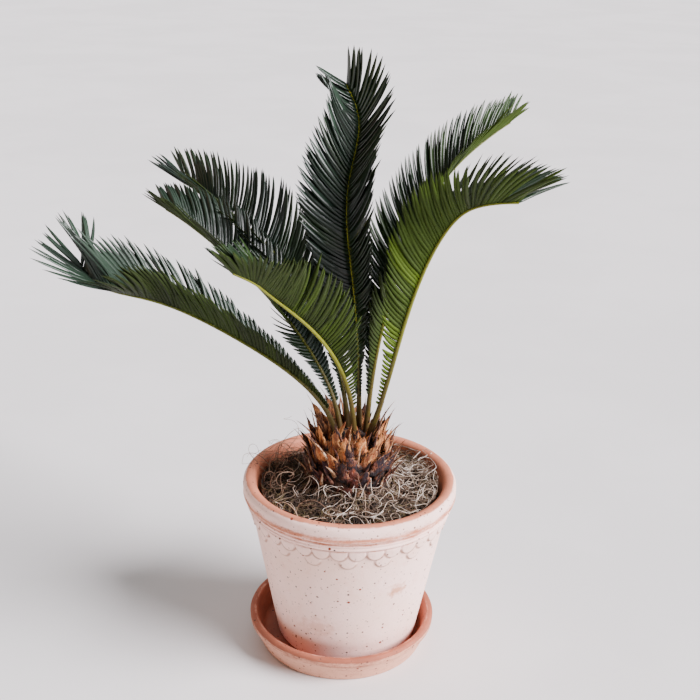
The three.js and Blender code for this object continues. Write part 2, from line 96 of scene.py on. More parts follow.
# root on the crown, heading in degrees, then the rib's curve as (out, height) in an upright
# plane, its sway out of that plane, and the roll, twist, length and sweep of its leaflets.
# tone is the leaflets' shade at the rib's foot and tip, from 0, dark, to 3, light: partly their own
# colour and partly painted light, dark where a frond lies in shade and light where a frond is lit
# through from behind. lift is how far each row, right then left, rises above the rib's plane along
# the frond and at its tip, turn how far its leaflets roll about themselves at the tip, and end how
# short its last ones are. waxy is the share of each row beyond which its leaflets take a blue-grey
# tone that paints their sheen, a painted reflection, low how much lower each row lies near the
# frond's foot, lit how much painted light brightens the rib where its own leaflets shade it, and
# cling how far leaflets lean together.
USUAL = dict(sway=0, roll=0, twist=0, leaflet=48, full_by=0.45, tip_share=0.55, tip_sweep=34,
             tone=(0.6, 0.8), lift=((42, 42), (42, 42)), turn=(FOOT_TURN, FOOT_TURN),
             end=(0.78, 0.78), width=3.5, painted_sheen=(2, 2), low=(0, 0), lit=0.0, cling=1.0)
FRONDS = [
    dict(USUAL, root=(-9, -3), heading=186, rise=(9, 210), arch=(119, 234), tip=(155, 268),
         sway=-12, roll=-10, twist=-17, leaflet=52, full_by=0.82, tip_share=0.88, tip_sweep=33,
         tone=(1.0, 0.4), lift=((38, 38), (74, 12)), turn=(22, 42), end=(0.9, 0.95), width=3.1,
         painted_sheen=(0.3, 0.82), cling=2.1),
    dict(USUAL, root=(-7, 4), heading=150, rise=(3, 211), arch=(100, 266), tip=(138, 278),
         full_by=0.62, lift=((42, 42), (38, 46)), end=(0.85, 0.72), painted_sheen=(0.25, 0.85), low=(0, 44)),
    dict(USUAL, root=(-2, 10), heading=130, rise=(6, 221), arch=(80, 267), tip=(194, 275),
         roll=-24, twist=14, leaflet=55, full_by=0.65, tip_share=0.68, tip_sweep=50,
         tone=(0.5, 0.7), lift=((34, 70), (48, 58)), turn=(40, 62), end=(0.86, 0.9), cling=1.6),
    dict(USUAL, root=(5, 9), heading=105, rise=(1, 220), arch=(13, 292), tip=(51, 365),
         sway=6, roll=-32, twist=9, leaflet=45, full_by=0.6, tip_share=0.84, tip_sweep=46,
         tone=(0.8, 0.6), lift=((44, 26), (36, 38)), end=(1.0, 0.62), width=4.9, painted_sheen=(2, 0.7),
         lit=1.25),
    dict(USUAL, root=(10, 4), heading=42, rise=(2, 226), arch=(39, 323), tip=(120, 339),
         sway=2, twist=5, leaflet=40, full_by=0.38, tip_share=0.82, tip_sweep=27,
         tone=(1.0, 1.9), lift=((46, 54), (42, 42)), end=(0.55, 1.0), width=2.9, low=(-36, 0)),
    dict(USUAL, root=(10, -5), heading=328, rise=(30, 224), arch=(23, 318), tip=(93, 321),
         sway=5, roll=-9, leaflet=45, full_by=0.6, tip_share=0.9, tip_sweep=38,
         tone=(2.95, 1.6), end=(0.9, 0.9), width=3.1, lit=0.3, cling=1.3),
    dict(USUAL, root=(2, -8), heading=238, rise=(0, 225), arch=(86, 272), tip=(122, 295),
         sway=-4, tone=(1.6, 1.3), lit=0.4, cling=1.5),
]

# ---- Small helpers


def smooth(low, high, value):
    share = np.clip((value - low) / (high - low), 0, 1)
    return share * share * (3 - 2 * share)


def mix(low, high, share):
    return low + (high - low) * share


def bell(value, centre, width):
    return math.exp(-(((value - centre) / width) ** 2))


def unit(vectors):
    return vectors / np.linalg.norm(vectors, axis=-1, keepdims=True)


def heading_vector(degrees):
    angle = np.radians(degrees)
    return np.stack([np.cos(angle), np.sin(angle), np.zeros_like(angle)], axis=-1)


def paint(red, green, blue):
    """A paint-chart colour, 0 to 255 a channel, as the linear colour that a shader takes."""
    channels = [value / 255 for value in (red, green, blue)]
    linear = [c / 12.92 if c <= 0.04045 else ((c + 0.055) / 1.055) ** 2.4 for c in channels]
    return (*linear, 1.0)


def darker(colour, share):
    return (*[channel * share for channel in paint(*colour)[:3]], 1.0)


def carrier(name, points, edges=(), faces=(), **attributes):
    """An object that carries points, and what is known at each, into a node tree."""
    mesh = bpy.data.meshes.new(name)
    mesh.from_pydata([tuple(point) for point in np.asarray(points, float) * MM], edges, faces)
    for key, values in attributes.items():
        values = np.asarray(values, float)
        kind = "FLOAT_VECTOR" if values.ndim == 2 else "FLOAT"
        field = mesh.attributes.new(key, kind, "POINT")
        field.data.foreach_set("vector" if values.ndim == 2 else "value", values.ravel())
    return bpy.data.objects.new(name, mesh)


def path_carrier(name, paths, **attributes):
    """A carrier of open paths. Each attribute is one list of values for each path."""
    edges, first = [], 0
    for path in paths:
        edges.extend((step, step + 1) for step in range(first, first + len(path) - 1))
        first += len(path)
    joined = {key: np.concatenate(values) for key, values in attributes.items()}
    return carrier(name, np.concatenate(paths), edges, **joined)


# ---- Node trees


class Wire:
    """One value or shape that flows through a node tree. Sums written with it add the nodes that
    work them out, and a vector comes before the number that it is multiplied by."""

    def __init__(self, socket, vector=None):
        self.socket = socket
        self.tree = socket.id_data
        self.vector = socket.type == "VECTOR" if vector is None else vector

    def math(self, operation, *others):
        kind = "ShaderNodeVectorMath" if self.vector else "ShaderNodeMath"
        output = 1 if operation == "LENGTH" else 0
        values = dict(enumerate((self, *others)))
        return place(self.tree, kind, values, output, operation=operation)

    __add__ = partialmethod(math, "ADD")
    __sub__ = partialmethod(math, "SUBTRACT")
    __truediv__ = partialmethod(math, "DIVIDE")
    __pow__ = partialmethod(math, "POWER")
    __lt__ = partialmethod(math, "LESS_THAN")
    __gt__ = partialmethod(math, "GREATER_THAN")
    at_least = partialmethod(math, "MAXIMUM")
    at_most = partialmethod(math, "MINIMUM")

    def __rsub__(self, other):
        return place(self.tree, "ShaderNodeMath", {0: other, 1: self}, operation="SUBTRACT")

    def __rtruediv__(self, other):
        return place(self.tree, "ShaderNodeMath", {0: other, 1: self}, operation="DIVIDE")

    def __mul__(self, other):
        if self.vector and not isinstance(other, tuple) and not getattr(other, "vector", False):
            values = {0: self, "Scale": other}
            return place(self.tree, "ShaderNodeVectorMath", values, operation="SCALE")
        return self.math("MULTIPLY", other)

    def ramp(self, low, high, to_low=0.0, to_high=1.0):
        """Turn the span from low to high, eased at both ends, into that from to_low to to_high."""
        ends = {"From Min": low, "From Max": high, "To Min": to_low, "To Max": to_high}
        return place(self.tree, "ShaderNodeMapRange", {"Value": self, **ends},
                     interpolation_type="SMOOTHSTEP")

    def split(self):
        return place(self.tree, "ShaderNodeSeparateXYZ", {0: self}, ("X", "Y", "Z"))

    def shape(self, kind, **inputs):
        """Pass a shape through one geometry node; its inputs' names have _ for a space."""
        inputs = {key.replace("_", " "): value for key, value in inputs.items()}
        return place(self.tree, f"GeometryNode{kind}", {0: self, **inputs})

    def store(self, name, value, domain="POINT"):
        return place(self.tree, "GeometryNodeStoreNamedAttribute",
                     {"Geometry": self, "Name": name, "Value": value}, domain=domain,
                     data_type="FLOAT_VECTOR" if value.vector else "FLOAT")

    def moved_to(self, position):
        return self.shape("SetPosition", Position=position)

    def moved_by(self, offset):
        return self.shape("SetPosition", Offset=offset)

    def dressed(self, material, selection=True):
        return self.shape("SetMaterial", Selection=selection, Material=material)

    def tubed(self, sides, radius):
        ring = place(self.tree, "GeometryNodeCurvePrimitiveCircle",
                     {"Resolution": sides, "Radius": 1.0})
        return self.shape("CurveToMesh", Profile_Curve=ring, Scale=radius, Fill_Caps=True)


def fill(socket, value):
    if isinstance(value, Wire):
        socket.id_data.links.new(value.socket, socket)
    elif value is not None:
        socket.default_value = value


def place(tree, kind, inputs=None, output=0, vector=None, **settings):
    """Add a node, set its options, fill its inputs, and give its output, or several of them."""
    node = tree.nodes.new(kind)
    for key, value in settings.items():
        setattr(node, key, value)
    for key, value in (inputs or {}).items():
        fill(node.inputs[key], value)
    if isinstance(output, tuple):
        return [Wire(node.outputs[key]) for key in output]
    return Wire(node.outputs[output], vector)


def new_tree(kind, name, inputs, outputs):
    """An empty node tree. An input is given as its usual value, or as Geometry or Material."""
    tree = bpy.data.node_groups.new(name, f"{kind}NodeTree")
    kinds = {int: "Int", float: "Float", tuple: "Vector"}
    for label, value in inputs.items():
        socket_kind = kinds.get(type(value), value)
        item = tree.interface.new_socket(
            name=label, in_out="INPUT", socket_type=f"NodeSocket{socket_kind}")
        if type(value) in kinds:
            item.default_value = value
    for label, socket_kind in outputs.items():
        tree.interface.new_socket(
            name=label, in_out="OUTPUT", socket_type=f"NodeSocket{socket_kind}")
    given = {socket.name: Wire(socket) for socket in tree.nodes.new("NodeGroupInput").outputs}
    return tree, given, tree.nodes.new("NodeGroupOutput").inputs


def named(tree, name, vector=False):
    return place(tree, "GeometryNodeInputNamedAttribute", {"Name": name}, 0, vector,
                 data_type="FLOAT_VECTOR" if vector else "FLOAT")


def combine(tree, x, y, z):
    return place(tree, "ShaderNodeCombineXYZ", {"X": x, "Y": y, "Z": z})


def noise(tree, scale, detail, point=None, **more):
    return place(tree, "ShaderNodeTexNoise",
                 {"Vector": point, "Scale": scale, "Detail": detail, **more}, "Fac")


def random_vector(tree, low, high, seed):
    return place(tree, "FunctionNodeRandomValue", {"Min": low, "Max": high, "Seed": seed},
                 data_type="FLOAT_VECTOR")


def strewn(points, instance, **inputs):
    return place(points.tree, "GeometryNodeInstanceOnPoints",
                 {"Points": points, "Instance": instance, **inputs})


def grown(piece, tree, values, slot, *nodes):
    """Run a tree on a carrier, keep what it makes as the piece's own plain mesh, and place it."""
    modifier = piece.modifiers.new("grow", "NODES")
    modifier.node_group = tree
    for item in tree.interface.items_tree:
        if item.item_type == "SOCKET" and item.in_out == "INPUT" and item.name in values:
            modifier[item.identifier] = values[item.name]
    bpy.context.scene.collection.objects.link(piece)
    graph = bpy.context.evaluated_depsgraph_get()
    mesh = bpy.data.meshes.new_from_object(piece.evaluated_get(graph), depsgraph=graph)
    piece.modifiers.remove(modifier)
    piece.data = mesh
    mesh.shade_smooth()
    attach(piece, "root")
    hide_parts(*nodes)
    return piece


# ---- Effects shared by the materials


def object_point(tree):
    return place(tree, "ShaderNodeTexCoord", output="Object")


def cloud_effect():
    """Soft uneven patches, for stains, fading and wear."""
    tree, given, made = new_tree(
        "Shader", "cloudy_patches",
        {"Scale": 40.0, "Detail": 4.0, "Stretch": PLAIN, "Low": 0.4, "High": 0.6},
        {"Mask": "Float"})
    point = object_point(tree) * given["Stretch"]
    patches = noise(tree, given["Scale"], given["Detail"], point, Roughness=0.6)
    fill(made["Mask"], patches.ramp(given["Low"], given["High"]))
    return tree


def fleck_effect():
    """Small round specks, some cells of a scatter bearing one and the others none."""
    tree, given, made = new_tree(
        "Shader", "flecks", {"Scale": 300.0, "Size": 0.15, "Share": 0.2}, {"Mask": "Float"})
    distance, colour = place(
        tree, "ShaderNodeTexVoronoi",
        {"Vector": object_point(tree), "Scale": given["Scale"], "Randomness": 1.0},
        ("Distance", "Color"))
    lot, girth = place(tree, "ShaderNodeSeparateColor", {"Color": colour}, ("Red", "Green"))
    size = given["Size"] * girth.ramp(0, 1, 0.4, 1)
    fill(made["Mask"], distance.ramp(size, size * 0.75) * (lot < given["Share"]))
    return tree


def turning_effect():
    """The faint level rings that a potter's fingers and a turning tool leave."""
    tree, given, made = new_tree(
        "Shader", "turning_rings", {"Scale": 900.0, "Waver": 0.6}, {"Height": "Float"})
    level = object_point(tree) * (0.02, 0.02, 1.0)
    fill(made["Height"], noise(tree, given["Scale"], 3.0, level, Distortion=given["Waver"]))
    return tree


def smear_effect():
    """One ragged smudge about a point, wider than it is tall."""
    tree, given, made = new_tree(
        "Shader", "smear", {"Centre": (0, 0, 0), "Size": 0.006}, {"Mask": "Float"})
    away = ((object_point(tree) - given["Centre"]) * (1.0, 1.0, 1.5)).math("LENGTH")
    torn = noise(tree, 260.0, 5.0, object_point(tree)) - 0.5
    fill(made["Mask"], (away / given["Size"] + torn * 2.4).ramp(1.2, 0.3))
    return tree


CLOUDS = cloud_effect()
SMEAR = smear_effect()
FLECKS = fleck_effect()
RINGS = turning_effect()


class Finish:
    """A material built up from a ground colour and colours laid over it by masks.

    A colour is three paint-chart channels, four linear ones, or what came of an earlier mix.
    """

    def __init__(self, name, roughness, ground=None, **constants):
        self.material = bpy.data.materials.new(name)
        self.material.use_nodes = True
        self.tree = self.material.node_tree
        self.shader = self.tree.nodes["Principled BSDF"].inputs
        self.surface = ground
        for key, value in {"Roughness": roughness, **constants}.items():
            self.shader[key.replace("_", " ")].default_value = value

    def effect(self, group, **values):
        return place(self.tree, "ShaderNodeGroup", values, node_tree=group)

    def clouds(self, scale, low=0.4, high=0.6, detail=4.0, stretch=PLAIN):
        return self.effect(CLOUDS, Scale=scale, Low=low, High=high, Detail=detail, Stretch=stretch)

    def flecks(self, scale, size, share):
        return self.effect(FLECKS, Scale=scale, Size=size, Share=share)

    def field(self, name):
        return place(self.tree, "ShaderNodeAttribute", output="Fac", attribute_name=name)

    def blend(self, mask, under, over):
        under, over = (paint(*colour) if isinstance(colour, tuple) and len(colour) == 3 else colour
                       for colour in (under, over))
        return place(self.tree, "ShaderNodeMix", {"Factor": mask, 6: under, 7: over}, 2,
                     data_type="RGBA")

    def over(self, mask, colour):
        self.surface = self.blend(mask, self.surface, colour)

    def done(self, height=None, depth=0.0, strength=1.0, rough=None):
        """Wire up the colour, the relief, depth mm deep, and a roughness that varies."""
        fill(self.shader["Base Color"], self.surface)
        fill(self.shader["Roughness"], rough)
        if height:
            fill(self.shader["Normal"], place(
                self.tree, "ShaderNodeBump",
                {"Height": height, "Distance": depth * MM, "Strength": strength}))
        return self.material


# ---- Materials

# scale, size, share of cells that bear one, strength and colour of each lot of flecks in the clay
CLAY_FLECKS = [
    (480.0, 0.3, 0.35, 0.6, (146, 106, 86)), (300.0, 0.25, 0.32, 0.95, (104, 62, 48)),
    (140.0, 0.17, 0.42, 1.0, (130, 54, 32)), (210.0, 0.19, 0.24, 0.95, (58, 40, 36)),
]


def clay_finish(name, chalk, clay, stain, edges, smears=()):
    """Unglazed clay under a chalky bloom, which is rubbed off where the field 'bare' is high."""
    finish = Finish(name, 0.9)
    uneven = finish.clouds(60.0, 0.25, 0.75, 6.0)
    streaks = finish.clouds(90.0, 0.3, 0.7, 5.0, (1, 1, 7.0))
    fine = finish.clouds(700.0, 0.3, 0.7, 5.0)
    rubbed = finish.field("bare") + uneven * 0.14 + streaks * 0.24 + fine * 0.12
    rubbed = rubbed.ramp(*edges)
    bloom = finish.blend(finish.clouds(22.0, 0.35, 0.75) * 0.6, chalk, stain)
    bloom = finish.blend(finish.clouds(190.0, 0.5, 0.72, 6.0) * 0.16, bloom, clay)
    body = finish.blend(finish.clouds(60.0, 0.35, 0.7, 5.0), clay, darker(clay, 0.78))
    body = finish.blend(streaks * 0.35, body, darker(clay, 0.6))
    finish.surface = finish.blend(rubbed, bloom, body)
    # painted shade in the creases under the scallops' lower edges
    finish.over(finish.field("crease_shade") * 0.75, (158, 112, 88))
    for spot_m, size_m, strength in smears:
        smear = finish.effect(SMEAR, Centre=spot_m, Size=size_m)
        finish.over(smear * strength, (202, 140, 106))
    for scale, size, share, strength, colour in CLAY_FLECKS:
        finish.over(finish.flecks(scale, size, share) * strength, colour)
    height = finish.effect(RINGS, Scale=900.0, Waver=0.6) * 0.4 + fine * 0.3
    height = height + finish.flecks(520.0, 0.2, 0.3) * -0.9
    return finish.done(height, 0.2, 0.8, rough=0.95 - rubbed * 0.18)


def leaf_finish(name, colours, roughness, coat, shine):
    """Leathery leaflet skin: plain colour with a slight unevenness along the blade."""
    finish = Finish(name, roughness, colours[0], Coat_Weight=coat, Coat_Roughness=0.3,
                    Specular_IOR_Level=shine)
    finish.over(finish.clouds(55.0, 0.35, 0.65, 3.0), colours[1])
    grain = finish.clouds(900.0, 0.35, 0.65, 3.0)
    finish.over(grain * 0.25, colours[2])
    return finish.done(grain, 0.08, 0.5)


def leaf_pair(name, face, back):
    """Upper and lower skin of one shade of leaflet: glossy above, matt and paler below."""
    def shades(colour, *gains):
        return [colour, *(tuple(channel * gain for channel in colour) for gain in gains)]

    return (leaf_finish(f"leaf_{name}", shades(face, 1.2, 1.5), 0.42, 0.45, 0.45),
            leaf_finish(f"leaf_{name}_back", shades(back, 1.15, 1.35), 0.65, 0.0, 0.22))


def fibre_finish(name, colours, roughness, scale, stretch, depth):
    """Dry stringy matter in three tones, drawn out along its growth."""
    finish = Finish(name, roughness, colours[0])
    streaks = finish.clouds(scale, 0.35, 0.65, 6.0, stretch)
    finish.over(streaks, colours[1])
    finish.over(finish.clouds(scale * 0.3, 0.42, 0.6, 4.0), colours[2])
    return finish.done(streaks, depth)


def rib_finish():
    """Yellow-green stalk, browner where it leaves the crown, brightened with painted light where its
    leaflets shade it.
    """
    finish = Finish("rib_green", 0.5, (70, 76, 4), Coat_Weight=0.05, Coat_Roughness=0.35,
                    Specular_IOR_Level=0.3)
    grain = finish.clouds(420.0, 0.35, 0.65, 4.0)
    woolly = finish.field("reach") + grain * 0.05
    finish.over(grain, (92, 98, 12))
    finish.over(woolly.ramp(0.5, 0.1) * 0.75, (66, 46, 12))
    finish.over(woolly.ramp(0.12, 0.03), (70, 50, 28))
    # painted light: a paler yellow-green laid over the rib where its own leaflets shade it
    finish.over(finish.field("lit") * 0.8, (152, 154, 38))
    return finish.done(grain, 0.1, 0.6)


def husk_finish(name, wool, flake, roughness, flake_span, spine, fringe):
    """Old leaf bases: felted or bare skin with flakes, drawn out into a hard dark spine."""
    finish = Finish(name, roughness, wool[0])
    felt = finish.clouds(620.0, 0.35, 0.65, 6.0, TALL)
    clots = finish.clouds(190.0, 0.4, 0.6, 5.0, (1.0, 1.0, 0.5))
    share = finish.field("share")
    finish.over(felt, wool[1])
    finish.over(clots * 0.85, wool[2])
    finish.over(finish.clouds(150.0, *flake_span, 7.0, (1.0, 1.0, 0.4)), flake)
    finish.over(finish.field("chance").ramp(-0.25, 0.35) * 0.38, darker(flake, 0.8))
    finish.over((share + felt * 0.22).ramp(0.8, 0.94), spine)
    finish.over((finish.field("edge") + felt * 0.3).ramp(0.95, 1.2) * 0.75, fringe)
    # painted shade: each scale goes near black towards its root, where it meets the trunk between its
    # neighbours
    finish.over(share.ramp(0.28, 0.05), darker(wool[2], 0.3))
    return finish.done(felt + clots, 0.6)


CLAY = (214, 132, 98)
pot_clay = clay_finish(
    "pot_clay", (254, 217, 206), CLAY, (240, 200, 180), (0.5, 1.0),
    [((0.0317, -0.0484, 0.0655), 0.0075, 0.85), ((-0.0188, -0.0488, 0.0362), 0.013, 0.42),
     ((0.009, 0.058, 0.07), 0.009, 0.85)])
saucer_clay = clay_finish("saucer_clay", (214, 160, 136), (166, 94, 68), (208, 152, 126), (0.5, 0.95))

# leaflet tones from dark to light: partly the leaflets' own colour and partly painted light, the dark
# tones painting shade on fronds that lie in shadow and the light tones the light that shines through
# fronds lit from behind
LEAF_TONES = {
    "shaded": leaf_pair("shaded", (16, 33, 22), (26, 36, 5)),
    "deep": leaf_pair("deep", (19, 38, 16), (33, 46, 3)),
    "fresh": leaf_pair("fresh", (27, 46, 10), (43, 59, 3)),
    "light": leaf_pair("light", (40, 58, 10), (62, 81, 6)),
    # a blue-grey tone that paints the sheen of light glancing off the leaflets: painted reflection
    "painted_sheen": leaf_pair("painted_sheen", (27, 44, 31), (30, 40, 10)),
}
PAINTED_SHEEN = list(LEAF_TONES).index("painted_sheen")
leaf_cushion = leaf_finish(
    "leaf_cushion", [(132, 134, 30), (152, 150, 44), (166, 158, 60)], 0.5, 0.1, 0.4)
rib_green = rib_finish()

husk_wool = husk_finish("husk_wool", [(224, 126, 62), (248, 180, 112), (132, 66, 36)], (50, 30, 30),
                        0.95, (0.54, 0.59), (48, 30, 30), (220, 160, 104))
husk_rust = husk_finish("husk_rust", [(98, 50, 34), (172, 98, 56), (44, 26, 30)], (38, 24, 32),
                        0.7, (0.45, 0.5), (44, 28, 30), (170, 116, 80))
husk_dark = husk_finish("husk_dark", [(44, 26, 34), (82, 54, 64), (20, 12, 15)], (158, 76, 38),
                        0.45, (0.6, 0.64), (38, 25, 28), (116, 72, 54))

STRAND = (0.85, 400.0, PLAIN, 0.1)
# three tones, roughness, how fine the streaks are, how they are drawn out, and their depth
FIBRES = {
    "husk_spine": ([(84, 50, 42), (132, 86, 64), (44, 28, 28)], 0.6, 700.0, TALL, 0.3),
    "husk_pale": ([(190, 152, 116), (222, 192, 160), (140, 98, 66)], 0.8, 700.0, TALL, 0.3),
    "husk_inside": ([(122, 76, 44), (160, 106, 62), (66, 40, 28)], 0.95, 620.0, TALL, 0.4),
    "core_bark": ([(44, 30, 26), (78, 50, 36), (24, 17, 16)], 0.95, 500.0, TALL, 0.8),
    "fuzz_tan": ([(186, 112, 56), (216, 150, 88), (126, 70, 38)], 0.95, 500.0, PLAIN, 0.1),
    "moss_pale": ([(208, 192, 176), (230, 220, 208), (164, 144, 124)], *STRAND),
    "moss_grey": ([(124, 102, 84), (166, 148, 130), (80, 62, 48)], *STRAND),
    "moss_olive": ([(98, 84, 54), (122, 108, 74), (70, 58, 36)], *STRAND),
    "moss_brown": ([(80, 58, 42), (108, 82, 60), (50, 36, 26)], 0.9, 400.0, PLAIN, 0.1),
    # moss_dark and moss_bed: near-black, partly the moss's own dark and partly painted shade deep in the
    # gaps between the strands
    "moss_dark": ([(46, 34, 24), (66, 50, 36), (26, 19, 14)], 0.9, 400.0, PLAIN, 0.1),
    "moss_stray": ([(158, 128, 104), (186, 158, 134), (120, 92, 72)], *STRAND),
    "moss_bed": ([(40, 32, 24), (64, 52, 38), (22, 17, 13)], 1.0, 260.0, PLAIN, 1.2),
    "soil_dark": ([(46, 36, 28), (70, 56, 44), (28, 22, 18)], 1.0, 300.0, PLAIN, 1.2),
}
fibre = {name: fibre_finish(name, *values) for name, values in FIBRES.items()}


# ---- Blades: leaflets, old leaf bases and bud scales all grow by one rule from their stations


def blade_tree():
    tree, given, made = new_tree(
        "Geometry", "blades_on_stations",
        {"Stations": "Geometry", "Sides": 4, "Rows": 6, "Thickness": 0.0008, "Fold": 0.3,
         "Curl": 0.16, "Root Share": 0.45, "Root Swell": 0.0, "Belly": 3.0, "Point": 1.0,
         "Body Share": 1.0, "Spine": 0.0, "Droop": 0.02, "Variation": 0.06, "Ragged": 0.0,
         "Ragged Scale": 9.0, "Roughen": 0.0, "Roughen Scale": 300.0, "End From": 2.0,
         "End To": 2.0, "Seed": 1, "Face Material": "Material", "Back Material": "Material",
         "End Material": "Material"},
        {"Blades": "Geometry"})
    position = place(tree, "GeometryNodeInputPosition")
    tube = place(tree, "GeometryNodeMeshCylinder",
                 {"Vertices": given["Sides"], "Side Segments": given["Rows"], "Radius": 1.0,
                  "Depth": 1.0}, fill_type="NGON")
    x, y, z = position.split()
    tube = tube.store("share", z + 0.5).store("corner", position)
    tube = tube.store("edge", x.math("ABSOLUTE")).store("back", y < -0.001, "FACE")
    chance = random_vector(tree, (-1, -1, -1), (1, 1, 1), given["Seed"])
    stations = given["Stations"].store("root", position).store("chance", chance)
    blades = strewn(stations, tube).shape("RealizeInstances")

    share = named(tree, "share")
    square = share * share
    root, lower, along, face = (named(tree, name, True) for name in ("root", "lower", "along", "face"))
    lot_x, lot_y, lot_z = named(tree, "chance", True).split()
    length = named(tree, "length") * lot_x.math("MULTIPLY_ADD", given["Variation"], 1.0)
    run = (square * share).math("MULTIPLY_ADD", -0.1, share)
    sag = square * given["Droop"] * lot_y
    spine = root + (lower * run + along * (square * given["Curl"]) + face * sag) * length

    x, y, z = named(tree, "corner", True).split()
    body = 1.0 - (share / given["Body Share"]) ** given["Belly"]
    body = body.at_least(0.0) ** given["Point"] * share.ramp(0.0, 0.14, given["Root Share"], 1.0)
    body = body.at_least((1.0 - share) ** 0.7 * given["Spine"])
    tear = combine(tree, share * given["Ragged Scale"], x * 1.7, lot_z * 57.0)
    tear = (noise(tree, 1.0, 2.0, tear) - 0.5) * given["Ragged"]
    half = named(tree, "width") * 0.5 * body * (tear + 1.0)
    swell = share.ramp(0.0, 0.07, given["Root Swell"], 0.0)
    thick = given["Thickness"] * (swell + 0.5) * body.at_least(0.02)
    rise = y.math("MULTIPLY_ADD", thick, x.math("ABSOLUTE") * given["Fold"] * half)
    across = face.math("CROSS_PRODUCT", lower)
    blades = blades.moved_to(spine + (across * (x * half) + face * rise))
    push = (noise(tree, given["Roughen Scale"], 3.0) - 0.5) * given["Roughen"] * body
    blades = blades.moved_by(place(tree, "GeometryNodeInputNormal") * push)
    blades = blades.shape("MergeByDistance", Distance=0.002 * MM)
    blades = blades.dressed(given["Face Material"]).dressed(given["Back Material"], named(tree, "back"))
    ends = (share > given["End From"]) * (share < given["End To"])
    fill(made["Blades"], blades.dressed(given["End Material"], ends))
    return tree


def stem_tree():
    tree, given, made = new_tree(
        "Geometry", "round_stems", {"Paths": "Geometry", "Sides": 8, "Material": "Material"},
        {"Stems": "Geometry"})
    stems = given["Paths"].shape("MeshToCurve").tubed(given["Sides"], named(tree, "thickness"))
    fill(made["Stems"], stems.shape("RealizeInstances").dressed(given["Material"]))
    return tree


# ---- Fronds


def rib_point(frond, share):
    share = np.asarray(share, float)[..., None]
    rest = 1 - share
    corners = np.array([(0, RIB_ROOT_HEIGHT), frond["rise"], frond["arch"], frond["tip"]], float)
    weights = [rest**3, 3 * rest**2 * share, 3 * rest * share**2, share**3]
    flat = sum(weight * corner for weight, corner in zip(weights, corners))
    heading = heading_vector(float(frond["heading"]))
    aside = heading_vector(float(frond["heading"] + 90))
    root = np.array([*frond["root"], 0.0])
    sway = frond["sway"] * np.sin(2 * np.pi * share**3)
    return root + heading * flat[..., :1] + UP * flat[..., 1:] + aside * sway


def rib_axes(frond, share):
    """Unit vectors along the rib, aside to its left, and above its upper face."""
    share = np.asarray(share, float)
    ahead = rib_point(frond, np.minimum(share + 0.004, 1))
    along = unit(ahead - rib_point(frond, np.maximum(share - 0.004, 0)))
    aside = heading_vector(float(frond["heading"] + 90))
    level = unit(aside - along * (along @ aside)[..., None])
    upright = np.cross(along, level)
    turn = np.radians(frond["roll"] + frond["twist"] * share)[..., None]
    aside = level * np.cos(turn) + upright * np.sin(turn)
    return along, aside, np.cross(along, aside)


def leaflet_length(frond, share):
    swell = mix(0.1, 1.0, smooth(0, frond["full_by"], share))
    return frond["leaflet"] * swell * mix(1.0, frond["tip_share"], smooth(0.5, 1, share))


def clumps(chance, count):
    """Neighbouring leaflets cling in groups. Gives how far each leans towards its group's
    middle, in degrees, and a shade that the whole group shares."""
    lean, shade = [], []
    while len(lean) < count:
        size = int(chance.integers(3, 10))
        spot = (np.arange(size) + 0.5) / size - 0.5
        lean.extend(-spot * min(size, 7) * 1.1 + chance.normal(0, 0.9))
        shade.extend([chance.normal(0, 0.38)] * size)
    return np.array(lean[:count]), np.array(shade[:count])


def leaflet_stations(frond, chance):
    """Where each leaflet leaves its rib, which way it points, and how long and wide it is."""
    rib = rib_point(frond, np.linspace(LEAFLET_START, 1, 200))
    pairs = int(np.linalg.norm(np.diff(rib, axis=0), axis=1).sum() / LEAFLET_SPACING)
    rows = []
    for number, side in enumerate((-1, 1)):
        share = (np.arange(pairs) + 0.5 + 0.2 * side) / pairs
        up_rib = LEAFLET_START + (1 - LEAFLET_START) * share
        along, aside, above = rib_axes(frond, up_rib)
        spread = chance.normal(0, 1, (4, pairs))
        loose = np.where(chance.uniform(0, 1, pairs) < LOOSE_SHARE, LOOSE_FAN, 1.0)
        lean, shade = clumps(chance, pairs)
        fan = 0.9 * loose + 4.5 * smooth(0.9, 1, share)
        sweep = mix(FOOT_SWEEP, frond["tip_sweep"], share) + LEAFLET_OPENING * smooth(0, 0.3, share)
        sweep = np.radians(sweep + frond["cling"] * lean + fan * spread[0])[:, None]
        lift = mix(*frond["lift"][number], smooth(0.7, 1, share))
        lift = lift - frond["low"][number] * smooth(0.34, 0.25, share)
        lift = np.radians(lift + 1.7 * fan * spread[1])[:, None]
        row = aside * side * np.cos(lift) + above * np.sin(lift)
        lower = along * np.cos(sweep) + row * np.sin(sweep)
        face = np.cross(along, row) * side
        across = np.cross(face, lower)
        turn = mix(FOOT_TURN, frond["turn"][number], smooth(0.75, 1, share))
        turn = np.radians(turn + 7 * spread[2])[:, None] * side
        point = rib_point(frond, up_rib) + above * 0.1
        length = leaflet_length(frond, share) * LEAFLET_TRIM
        length = length * mix(1, frond["end"][number], smooth(0.88, 1, share))
        tip = lower * 0.9 + along * LEAFLET_CURL
        room = np.where(tip > 0, BOX_HIGH - point, BOX_LOW - point) / tip
        width = mix(FOOT_WIDTH, frond["width"], smooth(0, 0.3, share))
        width = width * mix(1, TIP_NARROWING, smooth(0.8, 1, share)) * MM
        # the frond's tone along its rib is partly painted light and shade; the clump's shade is a random
        # tone of its own
        tone = np.clip(np.round(mix(*frond["tone"], share) + shade), 0, 3)
        rows.append({
            "point": point, "lower": lower, "along": along,
            "face": unit(face * np.cos(turn) + across * np.sin(turn)),
            "length": np.minimum(length, room.min(axis=1) * BOX_ROOM) * MM, "width": width,
            # leaflets far enough along the row take the blue-grey tone that paints their sheen
            "tone": np.where(share + 0.3 * shade > frond["painted_sheen"][number], PAINTED_SHEEN, tone),
        })
    return {key: np.concatenate([row[key] for row in rows]) for key in rows[0]}


